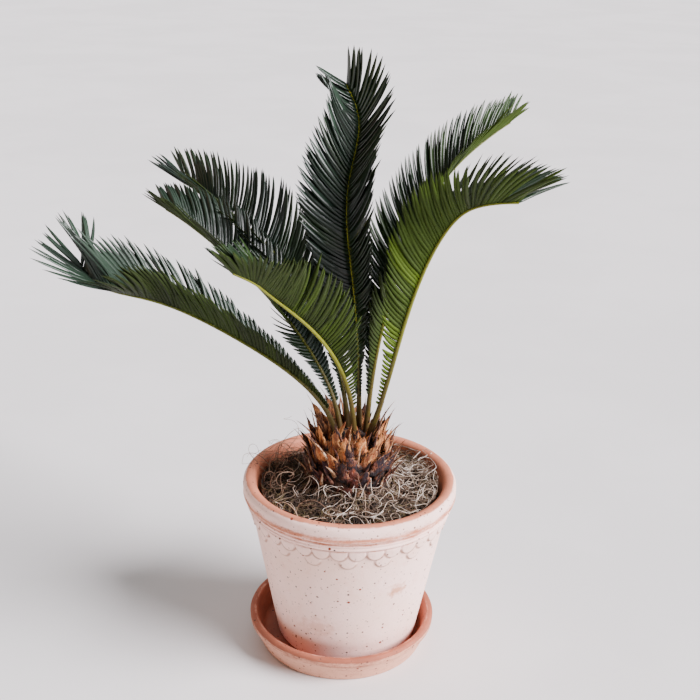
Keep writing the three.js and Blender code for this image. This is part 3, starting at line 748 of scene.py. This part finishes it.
def build_fronds():
    chance = np.random.default_rng(7)
    fronds = [leaflet_stations(frond, chance) for frond in FRONDS]
    stations = {key: np.concatenate([frond[key] for frond in fronds]) for key in fronds[0]}
    tone = stations.pop("tone")
    nodes = [f"frond_{number}" for number in range(1, len(FRONDS) + 1)]
    for number, (name, (face, back)) in enumerate(LEAF_TONES.items()):
        chosen = {key: values[tone == number] for key, values in stations.items()}
        piece = carrier(f"leaflets_{name}", chosen.pop("point"), **chosen)
        grown(piece, BLADES,
              {"Sides": 4, "Rows": 9, "Thickness": 0.6 * MM, "Fold": 0.3, "Curl": LEAFLET_CURL,
               "Root Share": 0.55, "Root Swell": 0.6, "Belly": 5.0, "Point": 0.9, "Droop": 0.03,
               "Variation": 0.03, "End From": -1.0, "End To": 0.055, "Seed": 10 + number,
               "Face Material": face, "Back Material": back, "End Material": leaf_cushion},
              "frond", *nodes)
    share = np.linspace(0, 1, 49)
    thickness = (mix(1.75, 0.6, share**0.65) + 0.8 * np.exp(-share * 14)) * MM
    ribs = path_carrier(
        "ribs", [rib_point(frond, share) for frond in FRONDS],
        thickness=[thickness] * len(FRONDS), reach=[share] * len(FRONDS),
        lit=[frond["lit"] * smooth(0.15, 0.4, share) for frond in FRONDS])
    grown(ribs, STEMS, {"Sides": 10, "Material": rib_green}, "frond", *nodes)


# ---- Turned pieces: pot, saucer, the moss's bed and the trunk's core

ROW_LABELS = ("Count", "First", "Height", "Radius", "Relief")


def scallop_row_tree():
    """How far one row of round scallops stands out at a spot, and how much painted shade lies in the
    crease under its lower half there.
    """
    tree, given, made = new_tree(
        "Geometry", "scallop_row",
        {"Angle": 0.0, "Level": 0.0, "Girth": 0.065, "Count": 36.0, "First": 0.0, "Height": 0.1,
         "Radius": 0.0055, "Relief": 0.001},
        {"Relief": "Float", "Crease Shade": "Float"})
    radius = given["Radius"]
    pitch = FULL_TURN / given["Count"]
    turns = (given["Angle"] - given["First"]) / pitch
    sideways = (turns - turns.math("ROUND")) * pitch * given["Girth"]
    upward = given["Level"] - given["Height"]
    away = (sideways * sideways + upward * upward).math("SQRT")
    inner = radius - 0.5 * MM
    fill(made["Relief"], away.ramp(radius, inner) * away.ramp(radius, 0.0, 0.82, 1.0) * given["Relief"])
    rim = away.ramp(radius + 1.1 * MM, radius) - away.ramp(inner, inner - 0.6 * MM)
    # painted shade only along the lower half of each scallop's edge
    fill(made["Crease Shade"], rim * upward.ramp(0.0, -2.5 * MM))
    return tree


def turned_tree():
    """Spin a profile of points about the upright axis, with two rows of scallops outside."""
    tree, given, made = new_tree(
        "Geometry", "turned_on_the_wheel",
        {"Profile": "Geometry", "Columns": 120, "Wobble": 0.0, "Wobble Scale": 30.0,
         "Border Top": 0.0, "Lowest": 0.0,
         **{f"Row {number} {label}": 1.0 if label == "Count" else 0.0
            for number in (1, 2) for label in ROW_LABELS},
         "Shift": (0, 0, 0), "Material": "Material"},
        {"Body": "Geometry"})
    position = place(tree, "GeometryNodeInputPosition")
    rows = place(tree, "GeometryNodeAttributeDomainSize", {"Geometry": given["Profile"]})
    grid = place(tree, "GeometryNodeMeshGrid",
                 {"Size X": 1.0, "Size Y": 1.0, "Vertices X": given["Columns"] + 1.0,
                  "Vertices Y": rows})
    x, y, _ = position.split()
    grid = grid.store("turn", (x + 0.5) * FULL_TURN)
    grid = grid.store("row", ((y + 0.5) * (rows - 1.0)).math("ROUND"))

    def from_profile(value):
        return place(tree, "GeometryNodeSampleIndex",
                     {"Geometry": given["Profile"], "Value": value, "Index": named(tree, "row")},
                     0, value.vector, data_type="FLOAT_VECTOR" if value.vector else "FLOAT")

    grid = grid.store("bare", from_profile(named(tree, "bare")))
    turn = named(tree, "turn")
    reach, _, level = from_profile(position).split()
    scallops = scallop_row_tree()
    (relief_1, crease_shade_1), (relief_2, crease_shade_2) = (
        place(tree, "GeometryNodeGroup",
              {**{label: given[f"Row {number} {label}"] for label in ROW_LABELS},
               "Angle": turn, "Level": level, "Girth": reach},
              ("Relief", "Crease Shade"), node_tree=scallops)
        for number in (1, 2))
    outside = from_profile(named(tree, "outside")) > 0.5
    bordered = level < given["Border Top"]
    below_first = crease_shade_2 * relief_1.ramp(0.3 * MM, 0.1 * MM)
    # painted shade in the creases under the scallops, the upper row's over the lower's
    grid = grid.store("crease_shade", crease_shade_1.at_least(below_first) * outside * bordered)
    radius = reach + relief_1.at_least(relief_2) * outside * bordered
    around = combine(tree, radius * turn.math("COSINE"), radius * turn.math("SINE"), level)
    body = grid.moved_to(around).shape("MergeByDistance", Distance=0.005 * MM)
    push = (noise(tree, given["Wobble Scale"], 2.0) - 0.5) * given["Wobble"]
    body = body.moved_by(place(tree, "GeometryNodeInputNormal") * push).moved_by(given["Shift"])
    body = body.moved_to(position.at_least(combine(tree, -10.0, -10.0, given["Lowest"])))
    fill(made["Body"], body.shape("RealizeInstances").dressed(given["Material"]))
    return tree


def arc(radius, height, size, start, end, steps):
    """Points of a rounded edge about (radius, height), angles in degrees."""
    angles = np.radians(np.linspace(start, end, steps + 1))
    return [(radius + size * math.cos(a), height + size * math.sin(a)) for a in angles]


def line(start, end, steps):
    return [tuple(mix(np.array(start), np.array(end), step / steps)) for step in range(1, steps + 1)]


def cone(height):
    return CONE_START + CONE_SLOPE * height


def turned(name, outline, values, slot, node, outside_until=0, bare=lambda radius, height, outside: 0.0):
    """Spin an outline of (radius, height) points. bare(radius, height, outside) gives rubbed clay."""
    outside = [1.0 if index < outside_until else 0.0 for index in range(len(outline))]
    worn = [bare(radius, height, side) for (radius, height), side in zip(outline, outside)]
    points = [(radius, 0.0, height) for radius, height in outline]
    piece = path_carrier(name, [points], bare=[worn], outside=[outside])
    return grown(piece, TURNED, values, slot, node)


def pot_bareness(radius, height, outside):
    if not outside:
        return 0.95
    # more bare clay on the band under the rim and on the lip, darker clay along the two grooves at 108.6
    # and 103.6 mm, and a little at the foot
    worn = 0.12 + 0.55 * bell(height, 112.8, 2.8) + 0.45 * bell(height, 108.6, 0.9)
    worn += 0.5 * bell(height, 103.6, 0.9) + 0.1 * bell(height, 5.5, 5.0)
    if height > 117:
        worn += 0.8 * smooth(69.4, 67.0, radius)
    return float(worn)


def build_pot():
    foot = POT_FOOT
    # underside, rounded foot and tapering wall
    outline = [(0.0, foot), *line((0, foot), (cone(foot + 4) - 4.5, foot), 4)]
    outline += arc(cone(foot + 4) - 4, foot + 4, 4, -90, -8, 6)[1:]
    outline += line(outline[-1], (cone(88), 88.0), 26)
    outline += line(outline[-1], (cone(POT_BODY_TOP), POT_BODY_TOP), 34)
    # bead, groove and banded rim
    outline += line(outline[-1], (67.3, 104.4), 3)
    outline += arc(66.9, 105.2, 0.8, -40, 60, 4)
    outline += [(67.0, 106.4), (67.2, 106.8)]
    outline += arc(67.0, 107.5, 0.7, -40, 70, 4)
    outline += [(67.1, 108.5), (67.4, 109.2), (68.6, 110.6)]
    outline += arc(69.3, 111.9, 0.7, -50, 20, 3)
    outline += line(outline[-1], (70.0, 117.6), 5)
    outline += arc(65.8, 117.8, 4.15, 2, 88, 10)
    outside_until = len(outline)
    # rolled lip and inside
    outline += [(POT_MOUTH + 4.5 * (1 - math.sin(turn)), 121.95 - 3.4 * (1 - math.cos(turn)))
                for turn in np.radians(np.linspace(8, 90, 9))]
    outline += line(outline[-1], (cone(108.6) - POT_WALL, 108.6), 6)
    outline += line(outline[-1], (cone(16) - POT_WALL, 16.0), 8)
    outline += line(outline[-1], (0.0, 12.6), 3)
    values = {"Columns": 640, "Wobble": 0.5 * MM, "Wobble Scale": 38.0,
              "Border Top": (POT_BODY_TOP + 0.3) * MM, "Material": pot_clay}
    for number, (count, first, *sizes) in enumerate(SCALLOP_ROWS, 1):
        row = (float(count), math.radians(first), *(size * MM for size in sizes))
        values.update({f"Row {number} {label}": value for label, value in zip(ROW_LABELS, row)})
    turned("pot_body", outline, values, "pot", "pot", outside_until, pot_bareness)


def saucer_bareness(radius, height, outside):
    if not outside:
        return 0.9 if radius < 58.5 else 0.6
    return float(0.25 + 0.6 * smooth(16.5, 20, height) + 0.2 * bell(height, 14.8, 0.8))


def build_saucer():
    outline = [(0.0, 0.0), *line((0, 0), (53.0, 0.0), 5)]
    outline += arc(53.8, 2.2, 2.2, -88, -18, 4)
    outline += line(outline[-1], (60.6, 13.0), 8)
    outline += line(outline[-1], (62.5, 15.2), 3)
    outline += arc(60.4, 18.2, 2.3, -8, 90, 8)
    outside_until = len(outline)
    outline += arc(59.6, 18.3, 2.15, 92, 178, 6)
    outline += line(outline[-1], (53.6, 8.2), 6)
    outline += arc(50.6, 8.2, 2.9, 0, -88, 5)[1:]
    outline += line(outline[-1], (0.0, 5.25), 6)
    values = {"Columns": 200, "Wobble": 0.35 * MM, "Wobble Scale": 45.0,
              "Shift": (SAUCER_SHIFT * MM, 0, 0), "Material": saucer_clay}
    turned("saucer_dish", outline, values, "saucer", "saucer", outside_until, saucer_bareness)


# ---- Trunk


def core_radius(height):
    height = np.asarray(height, float)
    low = np.clip((height - SOIL_LEVEL) / (TRUNK_BELLY_HEIGHT - SOIL_LEVEL), 0, 1)
    high = np.clip((height - TRUNK_BELLY_HEIGHT) / (TRUNK_CROWN - TRUNK_BELLY_HEIGHT), 0, 1)
    foot = mix(TRUNK_FOOT, TRUNK_BELLY, np.sin(low * np.pi / 2))
    crown = TRUNK_BELLY * np.sqrt(1 - (1 - TRUNK_CROWN_SHARE**2) * high**2)
    return np.where(height < TRUNK_BELLY_HEIGHT, foot, crown)


def scale_stations(chance, angle, radius, height, lean, length, width, bend=1.0):
    """Stations of scales that grow up round the trunk's axis, leaning out by lean degrees.

    Their tips bend outwards by bend, or inwards where it is negative.
    """
    count = len(angle)
    outward = heading_vector(angle)
    lean = np.radians(lean)[:, None]
    swing = np.radians(chance.normal(0, 8.0, count))[:, None]
    aside = np.cross(UP, outward)
    lower = unit(UP * np.cos(lean) + outward * np.sin(lean) + aside * np.sin(swing))
    drift = chance.normal(bend, 0.9, (count, 1))
    return {
        "point": outward * radius[:, None] + UP * height[:, None],
        "lower": lower,
        "along": outward * drift + aside * chance.normal(0, 0.8, (count, 1)),
        "face": unit(outward - lower * (outward * lower).sum(1)[:, None]),
        "length": length * MM,
        "width": width * MM,
    }


SCALE_SHAPE = {
    "Sides": 10, "Rows": 24, "Thickness": 2.3 * MM, "Fold": -0.28, "Curl": 0.16, "Root Share": 0.95,
    "Body Share": 0.8, "Belly": 1.5, "Point": 0.85, "Spine": 0.13, "Droop": 0.07,
    "Variation": 0.2, "Ragged": 2.1, "Ragged Scale": 7.0, "Roughen": 2.4 * MM,
    "Roughen Scale": 360.0,
}
BUD_SHAPE = {**SCALE_SHAPE, "Thickness": 1.6 * MM, "Roughen": 1.0 * MM}
SPINE_SHAPE = {
    "Sides": 5, "Rows": 8, "Thickness": 2.0 * MM, "Fold": -0.2, "Curl": 0.12, "Root Share": 1.0,
    "Belly": 1.0, "Point": 0.9, "Droop": 0.08, "Variation": 0.15, "Roughen": 0.5 * MM,
    "Roughen Scale": 500.0,
}


def build_trunk():
    chance = np.random.default_rng(23)
    heights = np.linspace(SOIL_LEVEL, TRUNK_CROWN, 16)
    outline = [(0.0, SOIL_LEVEL), *[(float(core_radius(z)) - 1.2, z) for z in heights],
               (0.0, TRUNK_CROWN - 0.5)]
    turned("trunk_core", outline,
           {"Columns": 64, "Wobble": 3.0 * MM, "Wobble Scale": 160.0, "Lowest": SOIL_LEVEL * MM,
            "Material": fibre["core_bark"]}, "trunk", "trunk")

    def grow(name, stations, shape, material, seed):
        piece = carrier(name, stations.pop("point"), **stations)
        values = {**shape, "Seed": seed, "Face Material": material,
                  "Back Material": fibre["husk_inside"]}
        return grown(piece, BLADES, values, "trunk", "trunk")

    def whorls(name, first, count, heights, sunk, lean, length, width, material, seed, bend=1.0):
        """Old leaf bases in one spiral, numbered on from the belt below."""
        turn = (first + np.arange(count)) * GOLDEN_ANGLE
        height = mix(*heights, np.arange(count) / (count - 1))
        share = np.linspace(0, 1, count)
        stations = scale_stations(
            chance, turn, core_radius(height) - sunk + chance.normal(0, 0.8, count), height,
            mix(*lean, share) + chance.normal(0, 3.5, count), mix(*length, share),
            mix(*width, share) * chance.uniform(0.75, 1.25, count), bend)
        return grow(name, stations, SCALE_SHAPE, material, seed)

    def buds(name, count, material, seed):
        """Scales that stand between the stalks on the crown."""
        turn = np.arange(count) * 360 / count + chance.uniform(-8, 8, count)
        stations = scale_stations(
            chance, turn, chance.uniform(9.5, 15, count), chance.uniform(141, 147, count),
            chance.uniform(-4, 12, count), chance.uniform(17, 31, count),
            chance.uniform(4.5, 8, count), 0.2)
        return grow(name, stations, BUD_SHAPE, material, seed)

    def spines(name, count, heights, out, lean, length, width, material, seed):
        """Loose spines that stand out between the leaf bases."""
        turn = np.arange(count) * GOLDEN_ANGLE + chance.uniform(-16, 16, count)
        share = np.linspace(0, 1, count)
        height = mix(*heights, share)
        stations = scale_stations(
            chance, turn, core_radius(height) + out, height,
            mix(*lean, share) + chance.normal(0, 8, count),
            mix(*length, share) * chance.uniform(0.7, 1.2, count), chance.uniform(*width, count))
        grow(name, stations, SPINE_SHAPE, material, seed)

    whorls("leaf_bases_low", 0, 42, (108.2, 129.0), 2.6, (20, 7), (16, 22), (12.5, 12.5), husk_dark, 31)
    felted = [
        (whorls("leaf_bases_middle", 42, 17, (125.0, 135.0), 1.6, (11, 5), (20, 25), (12.5, 12.5),
                husk_rust, 32), "felt_middle", 70000.0),
        (whorls("leaf_bases_high", 59, 24, (132.0, 144.0), 1.8, (9, 2), (26, 31), (14, 11),
                husk_wool, 33, 0.9), "felt_high", 200000.0),
        (buds("bud_scales", 24, husk_wool, 34), "felt_bud_scales", 200000.0),
    ]
    spines("spines_dark", 66, (112.0, 147.5), -0.4, (28, 16), (11, 26), (2.2, 4.4),
           fibre["husk_spine"], 35)
    spines("spines_pale", 30, (118.0, 146.5), 0.4, (26, 18), (12, 26), (2.0, 3.8),
           fibre["husk_pale"], 36)
    wool = wool_tree()
    for host, name, density in felted:
        grown(bpy.data.objects.new(name, host.data.copy()), wool,
              {"Density": density, "Length": 2.6 * MM, "Radius": 0.11 * MM, "Reach": 0.62,
               "Seed": 5, "Material": fibre["fuzz_tan"]}, "trunk", "trunk")


def wool_tree():
    """Short bent hairs on the felted part of each scale."""
    tree, given, made = new_tree(
        "Geometry", "hairs_on_scales",
        {"Scales": "Geometry", "Density": 100000.0, "Length": 0.0025, "Radius": 0.0001,
         "Reach": 0.6, "Seed": 1, "Material": "Material"},
        {"Hairs": "Geometry"})
    spots, normal = place(
        tree, "GeometryNodeDistributePointsOnFaces",
        {"Mesh": given["Scales"], "Selection": named(tree, "share") < given["Reach"],
         "Density": given["Density"], "Seed": given["Seed"]},
        ("Points", "Normal"))
    hair = place(tree, "GeometryNodeMeshCone",
                 {"Vertices": 3, "Side Segments": 1, "Radius Top": 0.0,
                  "Radius Bottom": given["Radius"], "Depth": given["Length"]})
    way = normal * 0.8 + random_vector(tree, (-1, -1, -0.3), (1, 1, 1.5), given["Seed"])
    aim = place(tree, "FunctionNodeAlignRotationToVector", {"Vector": way}, axis="Z")
    hairs = strewn(spots, hair, Rotation=aim).shape("RealizeInstances")
    fill(made["Hairs"], hairs.dressed(given["Material"]))
    return tree


# ---- Moss and soil

MAT_RADII = [27.5, 31.0, 37.0, 49.0, 57.9]
MAT_HEIGHTS = [122.0, 119.4, 115.6, 113.6, 111.4]
MAT_BOTTOM = 107.4
STRAND_NEAR, STRAND_FAR = 27.6, 57.9
STRAND_LOWEST = 108
STRAND_FEET = 112.5
STRAND_STEPS = 30
TIGHTEST_BEND = 0.42
KINK_SHARE = 0.05
COLOUR_MIDDLE = (0.5, 0.5, 0.42)
# the ground that a stray finds by its distance from the axis: mat, wall, rim, then clear of it
STRAY_GROUND = ([57, 60, 62, 66, 71, 75], [0, 0, 123.0, 123.6, 123.2, 122])
STRAY_REACH = 72.6
STRAY_BACK = 58.2
STRAY_TOP = 151.6


def mat_level(radius):
    return np.interp(radius, MAT_RADII, MAT_HEIGHTS)


def tangle_tree():
    """Curly strands strewn over a bed and kept between the trunk and the pot's wall."""
    tree, given, made = new_tree(
        "Geometry", "tangled_strands",
        {"Bed": "Geometry", "Density": 60000.0, "Strand Radius": 0.0005, "Loop Start": 0.003,
         "Loop End": 0.009, "Turns": 1.1, "Tilt": 0.5, "Crinkle": 0.006, "Lift": 0.001,
         "Inner": 0.029, "Outer": 0.058, "Top": 0.12, "Seed": 1, "Material": "Material"},
        {"Strands": "Geometry"})
    position = place(tree, "GeometryNodeInputPosition")
    spots = place(tree, "GeometryNodeDistributePointsOnFaces",
                  {"Mesh": given["Bed"], "Density": given["Density"], "Seed": given["Seed"]})
    loop = place(tree, "GeometryNodeCurveSpiral",
                 {"Resolution": 16, "Rotations": given["Turns"], "Height": 0.002,
                  "Start Radius": given["Loop Start"], "End Radius": given["Loop End"]})
    tilt = given["Tilt"]
    turn = random_vector(tree, combine(tree, tilt * -1.0, tilt * -1.0, 0.0),
                         combine(tree, tilt, tilt, FULL_TURN), given["Seed"])
    size = random_vector(tree, (0.55, 0.55, 0.55), (1.35, 1.35, 1.35), given["Seed"] + 7.0)
    strands = strewn(spots, loop, Rotation=turn, Scale=size)
    strands = strands.store("lot", place(tree, "GeometryNodeInputIndex"), "INSTANCE")
    strands = strands.shape("RealizeInstances")
    lot = named(tree, "lot")
    apart = combine(tree, lot * 0.37, 0.0, lot * 0.11)
    push = place(tree, "ShaderNodeTexNoise",
                 {"Vector": position + apart, "Scale": 95.0, "Detail": 1.0}, "Color", True)
    push = (push - COLOUR_MIDDLE) * (1.0, 1.0, 0.7)
    strands = strands.moved_by(push * given["Crinkle"])
    x, y, z = position.split()
    away = (position * (1, 1, 0)).math("LENGTH")
    pull = away.at_least(given["Inner"]).at_most(given["Outer"]) / away
    kept = combine(tree, x * pull, y * pull, (z + given["Lift"]).at_most(given["Top"]))
    strands = strands.moved_to(kept).tubed(4, given["Strand Radius"])
    fill(made["Strands"], strands.dressed(given["Material"]))
    return tree


def wall_climb(spot):
    """How far the moss reaches up the pot's wall, by the bearing of a spot on the mat."""
    bearing = np.degrees(np.arctan2(spot[:, 1], spot[:, 0]))
    climb = 0.0
    for middle, spread, height in [(22, 42, 9.5), (165, 50, 4.5)]:
        away = (bearing - middle + 180) % 360 - 180
        climb = climb + height * np.exp(-((away / spread) ** 2))
    return climb


def wandering_strands(chance, count, lift, around, stride, curve):
    """Strands that loop over the mat at random, kept between the trunk and the pot's wall.

    They start at bearings around[0] spread by around[1] degrees.
    """
    reach = np.sqrt(chance.uniform(28.5**2, 57**2, count))
    spot = heading_vector(chance.normal(*around, count))[:, :2] * reach[:, None]
    heading = chance.uniform(0, 2 * np.pi, count)
    bend = chance.normal(0, curve, count)
    rise = chance.uniform(*lift, count)
    phase = chance.uniform(0, 2 * np.pi, count)
    pace = chance.uniform(0.12, 0.45, count)
    sway = chance.uniform(0.4, 2.4, count)
    climbing = chance.uniform(0, 1, count)
    paths = []
    for step in range(STRAND_STEPS):
        reach = np.linalg.norm(spot, axis=1)
        held = np.clip(reach, STRAND_NEAR, STRAND_FAR)
        spot = spot * (held / reach)[:, None]
        level = mat_level(held) + rise
        level += climbing * smooth(40, 57, held) * wall_climb(spot)
        level += sway * np.sin(phase + step * pace)
        paths.append(np.column_stack([spot, np.maximum(level, STRAND_LOWEST)]))
        kink = chance.normal(0, 1.1, count) * (chance.uniform(0, 1, count) < KINK_SHARE)
        bend = bend * 0.9 + chance.normal(0, curve * 0.75, count)
        bend = np.clip(bend, -TIGHTEST_BEND, TIGHTEST_BEND)
        heading = heading + bend * stride + kink
        spot = spot + stride * np.column_stack([np.cos(heading), np.sin(heading)])
    return np.stack(paths, axis=1)


def leaning_loop(angle, width, foot, top, lean):
    """A strand that arches up from the mat against the trunk and falls back beside it."""
    share = np.linspace(0, 1, 22)
    turn = np.pi * share
    out = heading_vector(angle + width * (share - 0.5) * 2 + 3 * np.sin(turn * 3 + angle))
    height = STRAND_FEET + (top - STRAND_FEET) * np.sin(turn) ** 0.6
    reach = foot - lean * np.sin(turn) + 0.8 * np.cos(turn * 4 + angle)
    return out * reach[:, None] + UP * height[:, None]


def stray_curl(chance, angle, steps):
    """A fine strand that wanders up out of the mat, over the rim, and curls ever tighter."""
    outward = heading_vector(float(angle))
    spot = outward * chance.uniform(46, 56) + UP * STRAND_FEET
    way = unit(UP + outward * chance.uniform(-0.2, 0.55) + chance.normal(0, 0.22, 3))
    axis = chance.normal(0, 1, 3)
    tightest = chance.uniform(0.2, 0.55)
    path = []
    for step in range(steps):
        radius = float(np.hypot(spot[0], spot[1]))
        pull = min(1, STRAY_REACH / radius)
        held = spot * [pull, pull, 1]
        held[1] = min(held[1], STRAY_BACK)
        held[2] = np.clip(held[2], np.interp(radius, *STRAY_GROUND), STRAY_TOP)
        path.append(held)
        axis = axis + chance.normal(0, 0.3, 3)
        axis = unit(axis - way * (axis @ way))
        turn = mix(0.05, tightest, (step / steps) ** 2.2)
        way = way * math.cos(turn) + np.cross(axis, way) * math.sin(turn)
        spot = held + way
    return np.array(path)


def strand_piece(name, paths, thick, thin, sides, material):
    thickness = [np.linspace(thick, thin, len(path)) * MM for path in paths]
    piece = path_carrier(name, paths, thickness=thickness)
    grown(piece, STEMS, {"Sides": sides, "Material": fibre[material]}, "moss", "moss")


def build_moss():
    outline = [(28.2, MAT_BOTTOM),
               *[(float(r), float(mat_level(r)) - 3.4) for r in np.linspace(28.5, 57.5, 12)],
               (57.6, MAT_BOTTOM), (28.2, MAT_BOTTOM)]
    # the mat's near-black colour paints the shade deep under the strands
    turned("moss_mat", outline,
           {"Columns": 110, "Wobble": 4.0 * MM, "Wobble Scale": 190.0, "Lowest": SOIL_LEVEL * MM,
            "Material": fibre["moss_bed"]}, "moss", "moss")
    tangle = tangle_tree()
    rings, columns = np.linspace(32.0, 54.5, 6), 72
    points = [heading_vector(360.0 * column / columns) * ring + UP * float(mat_level(ring))
              for ring in rings for column in range(columns)]
    faces = [(row * columns + c, row * columns + (c + 1) % columns,
              (row + 1) * columns + (c + 1) % columns, (row + 1) * columns + c)
             for row in range(len(rings) - 1) for c in range(columns)]
    for name, material, density, radius, seed, lift in [
        # the dark tangle lies lowest: painted shade in the gaps between the strands
        ("moss_tangle_dark", "moss_dark", 52000.0, 0.3, 51, -2.4),
        ("moss_tangle_brown", "moss_brown", 46000.0, 0.28, 52, -1.8),
    ]:
        grown(carrier(name, points, faces=faces), tangle,
              {"Density": density, "Strand Radius": radius * MM, "Loop Start": 2.2 * MM,
               "Loop End": 8.5 * MM, "Turns": 1.15, "Tilt": 0.42, "Crinkle": 9.0 * MM,
               "Lift": lift * MM, "Inner": 28.6 * MM, "Outer": 57.4 * MM, "Top": 119.5 * MM,
               "Seed": seed, "Material": fibre[material]}, "moss", "moss")
    chance = np.random.default_rng(41)
    # the tones are the moss's own, but dealing them by bearing paints light and shade: brown and olive
    # strands start mostly at the left and back, where the moss lies in shade, grey and pale ones at the
    # right and front, where it is lit
    for tone, count, lift, thick, around, stride, curve in [
        ("brown", 270, (-2.5, 3.5), 0.22, (150, 120), 1.5, 0.2),
        ("olive", 200, (-2.0, 3.4), 0.22, (180, 95), 1.6, 0.18),
        ("grey", 118, (-0.5, 4.8), 0.22, (-12, 84), 1.7, 0.13),
        ("pale", 60, (1.0, 6.5), 0.21, (-12, 66), 1.8, 0.11),
    ]:
        paths = wandering_strands(chance, count, lift, around, stride, curve)
        strand_piece(f"moss_strands_{tone}", paths, thick, thick * 0.6, 4, f"moss_{tone}")
    loops = [(-138, 14, 35, 131, 3), (-122, 8, 33, 128, 2), (-104, 14, 34, 123, 3),
             (-92, 12, 40, 120, 5), (-66, 8, 33, 133, 4), (-48, 13, 38, 122, 3),
             (-20, 12, 37, 126, 3), (12, 16, 44, 123, 4), (60, 13, 37, 125, 3),
             (120, 14, 40, 126, 4), (165, 12, 38, 124, 3), (205, 15, 42, 122, 2)]
    strand_piece("moss_loops", [leaning_loop(*loop) for loop in loops], 0.27, 0.18, 5, "moss_pale")
    strays = [stray_curl(chance, angle, int(chance.integers(26, 62)))
              for angle in [*chance.normal(160, 22, 24), *chance.uniform(0, 360, 8)]]
    strand_piece("moss_strays", strays, 0.24, 0.1, 4, "moss_stray")


# ---- The whole

TURNED = turned_tree()
BLADES = blade_tree()
STEMS = stem_tree()
build_pot()
build_saucer()
build_fronds()
build_trunk()
build_moss()
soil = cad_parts["soil"]
soil.data.materials.clear()
soil.data.materials.append(fibre["soil_dark"])

# ---- Camera, floor and light

CAMERA_DOWN = 21.9
CAMERA_ROLL = 1.4
PLANT_MIDDLE_M = (0, 0, 0.17)


def add_camera():
    camera = bpy.data.cameras.new("camera")
    camera.lens = 59.2
    camera.sensor_width = 36.0
    seat = bpy.data.objects.new("camera", camera)
    seat.location = Vector((-1.9, -671.5, 479.8)) * MM
    tilt = Matrix.Rotation(math.radians(90 - CAMERA_DOWN), 3, "X")
    seat.rotation_euler = (tilt @ Matrix.Rotation(math.radians(CAMERA_ROLL), 3, "Z")).to_euler()
    bpy.context.scene.collection.objects.link(seat)
    bpy.context.scene.camera = seat


def add_floor():
    size_m = 40.0
    mesh = bpy.data.meshes.new("floor")
    corners = [(x * size_m, y * size_m, 0) for x, y in [(-1, -1), (1, -1), (1, 1), (-1, 1)]]
    mesh.from_pydata(corners, [], [(0, 1, 2, 3)])
    floor = bpy.data.objects.new("floor", mesh)
    finish = Finish("floor_pale", 0.9, (0.72, 0.71, 0.7, 1))
    finish.over(finish.clouds(3.0), (0.76, 0.75, 0.74, 1))
    mesh.materials.append(finish.done())
    bpy.context.scene.collection.objects.link(floor)


def add_light(name, location_m, energy, softness, colour):
    """A far lamp aimed at the middle of the plant; the more degrees of softness, the softer."""
    lamp = bpy.data.lights.new(name, "SUN")
    lamp.energy = energy
    lamp.angle = math.radians(softness)
    lamp.color = colour
    holder = bpy.data.objects.new(name, lamp)
    holder.location = location_m
    toward = Vector(PLANT_MIDDLE_M) - Vector(location_m)
    holder.rotation_euler = toward.to_track_quat("-Z", "Y").to_euler()
    bpy.context.scene.collection.objects.link(holder)


add_camera()
add_floor()
add_light("window_right", (1.4, -0.5, 1.1), 12.2, 38, (1.0, 0.945, 1.0))
add_light("sky_behind", (-0.5, 1.4, 1.7), 1.2, 60, (0.95, 0.97, 1.0))
add_light("sky_left", (-0.6, -0.45, 0.9), 0.12, 50, (0.95, 0.95, 1.0))
add_light("warm_left", (-1.7, -0.7, 0.3), 0.95, 60, (1.0, 0.58, 0.35))
world = bpy.data.worlds.new("studio")
world.use_nodes = True
background = world.node_tree.nodes["Background"].inputs
background["Color"].default_value = (0.8, 0.81, 0.84, 1)
background["Strength"].default_value = 0.145
bpy.context.scene.world = world
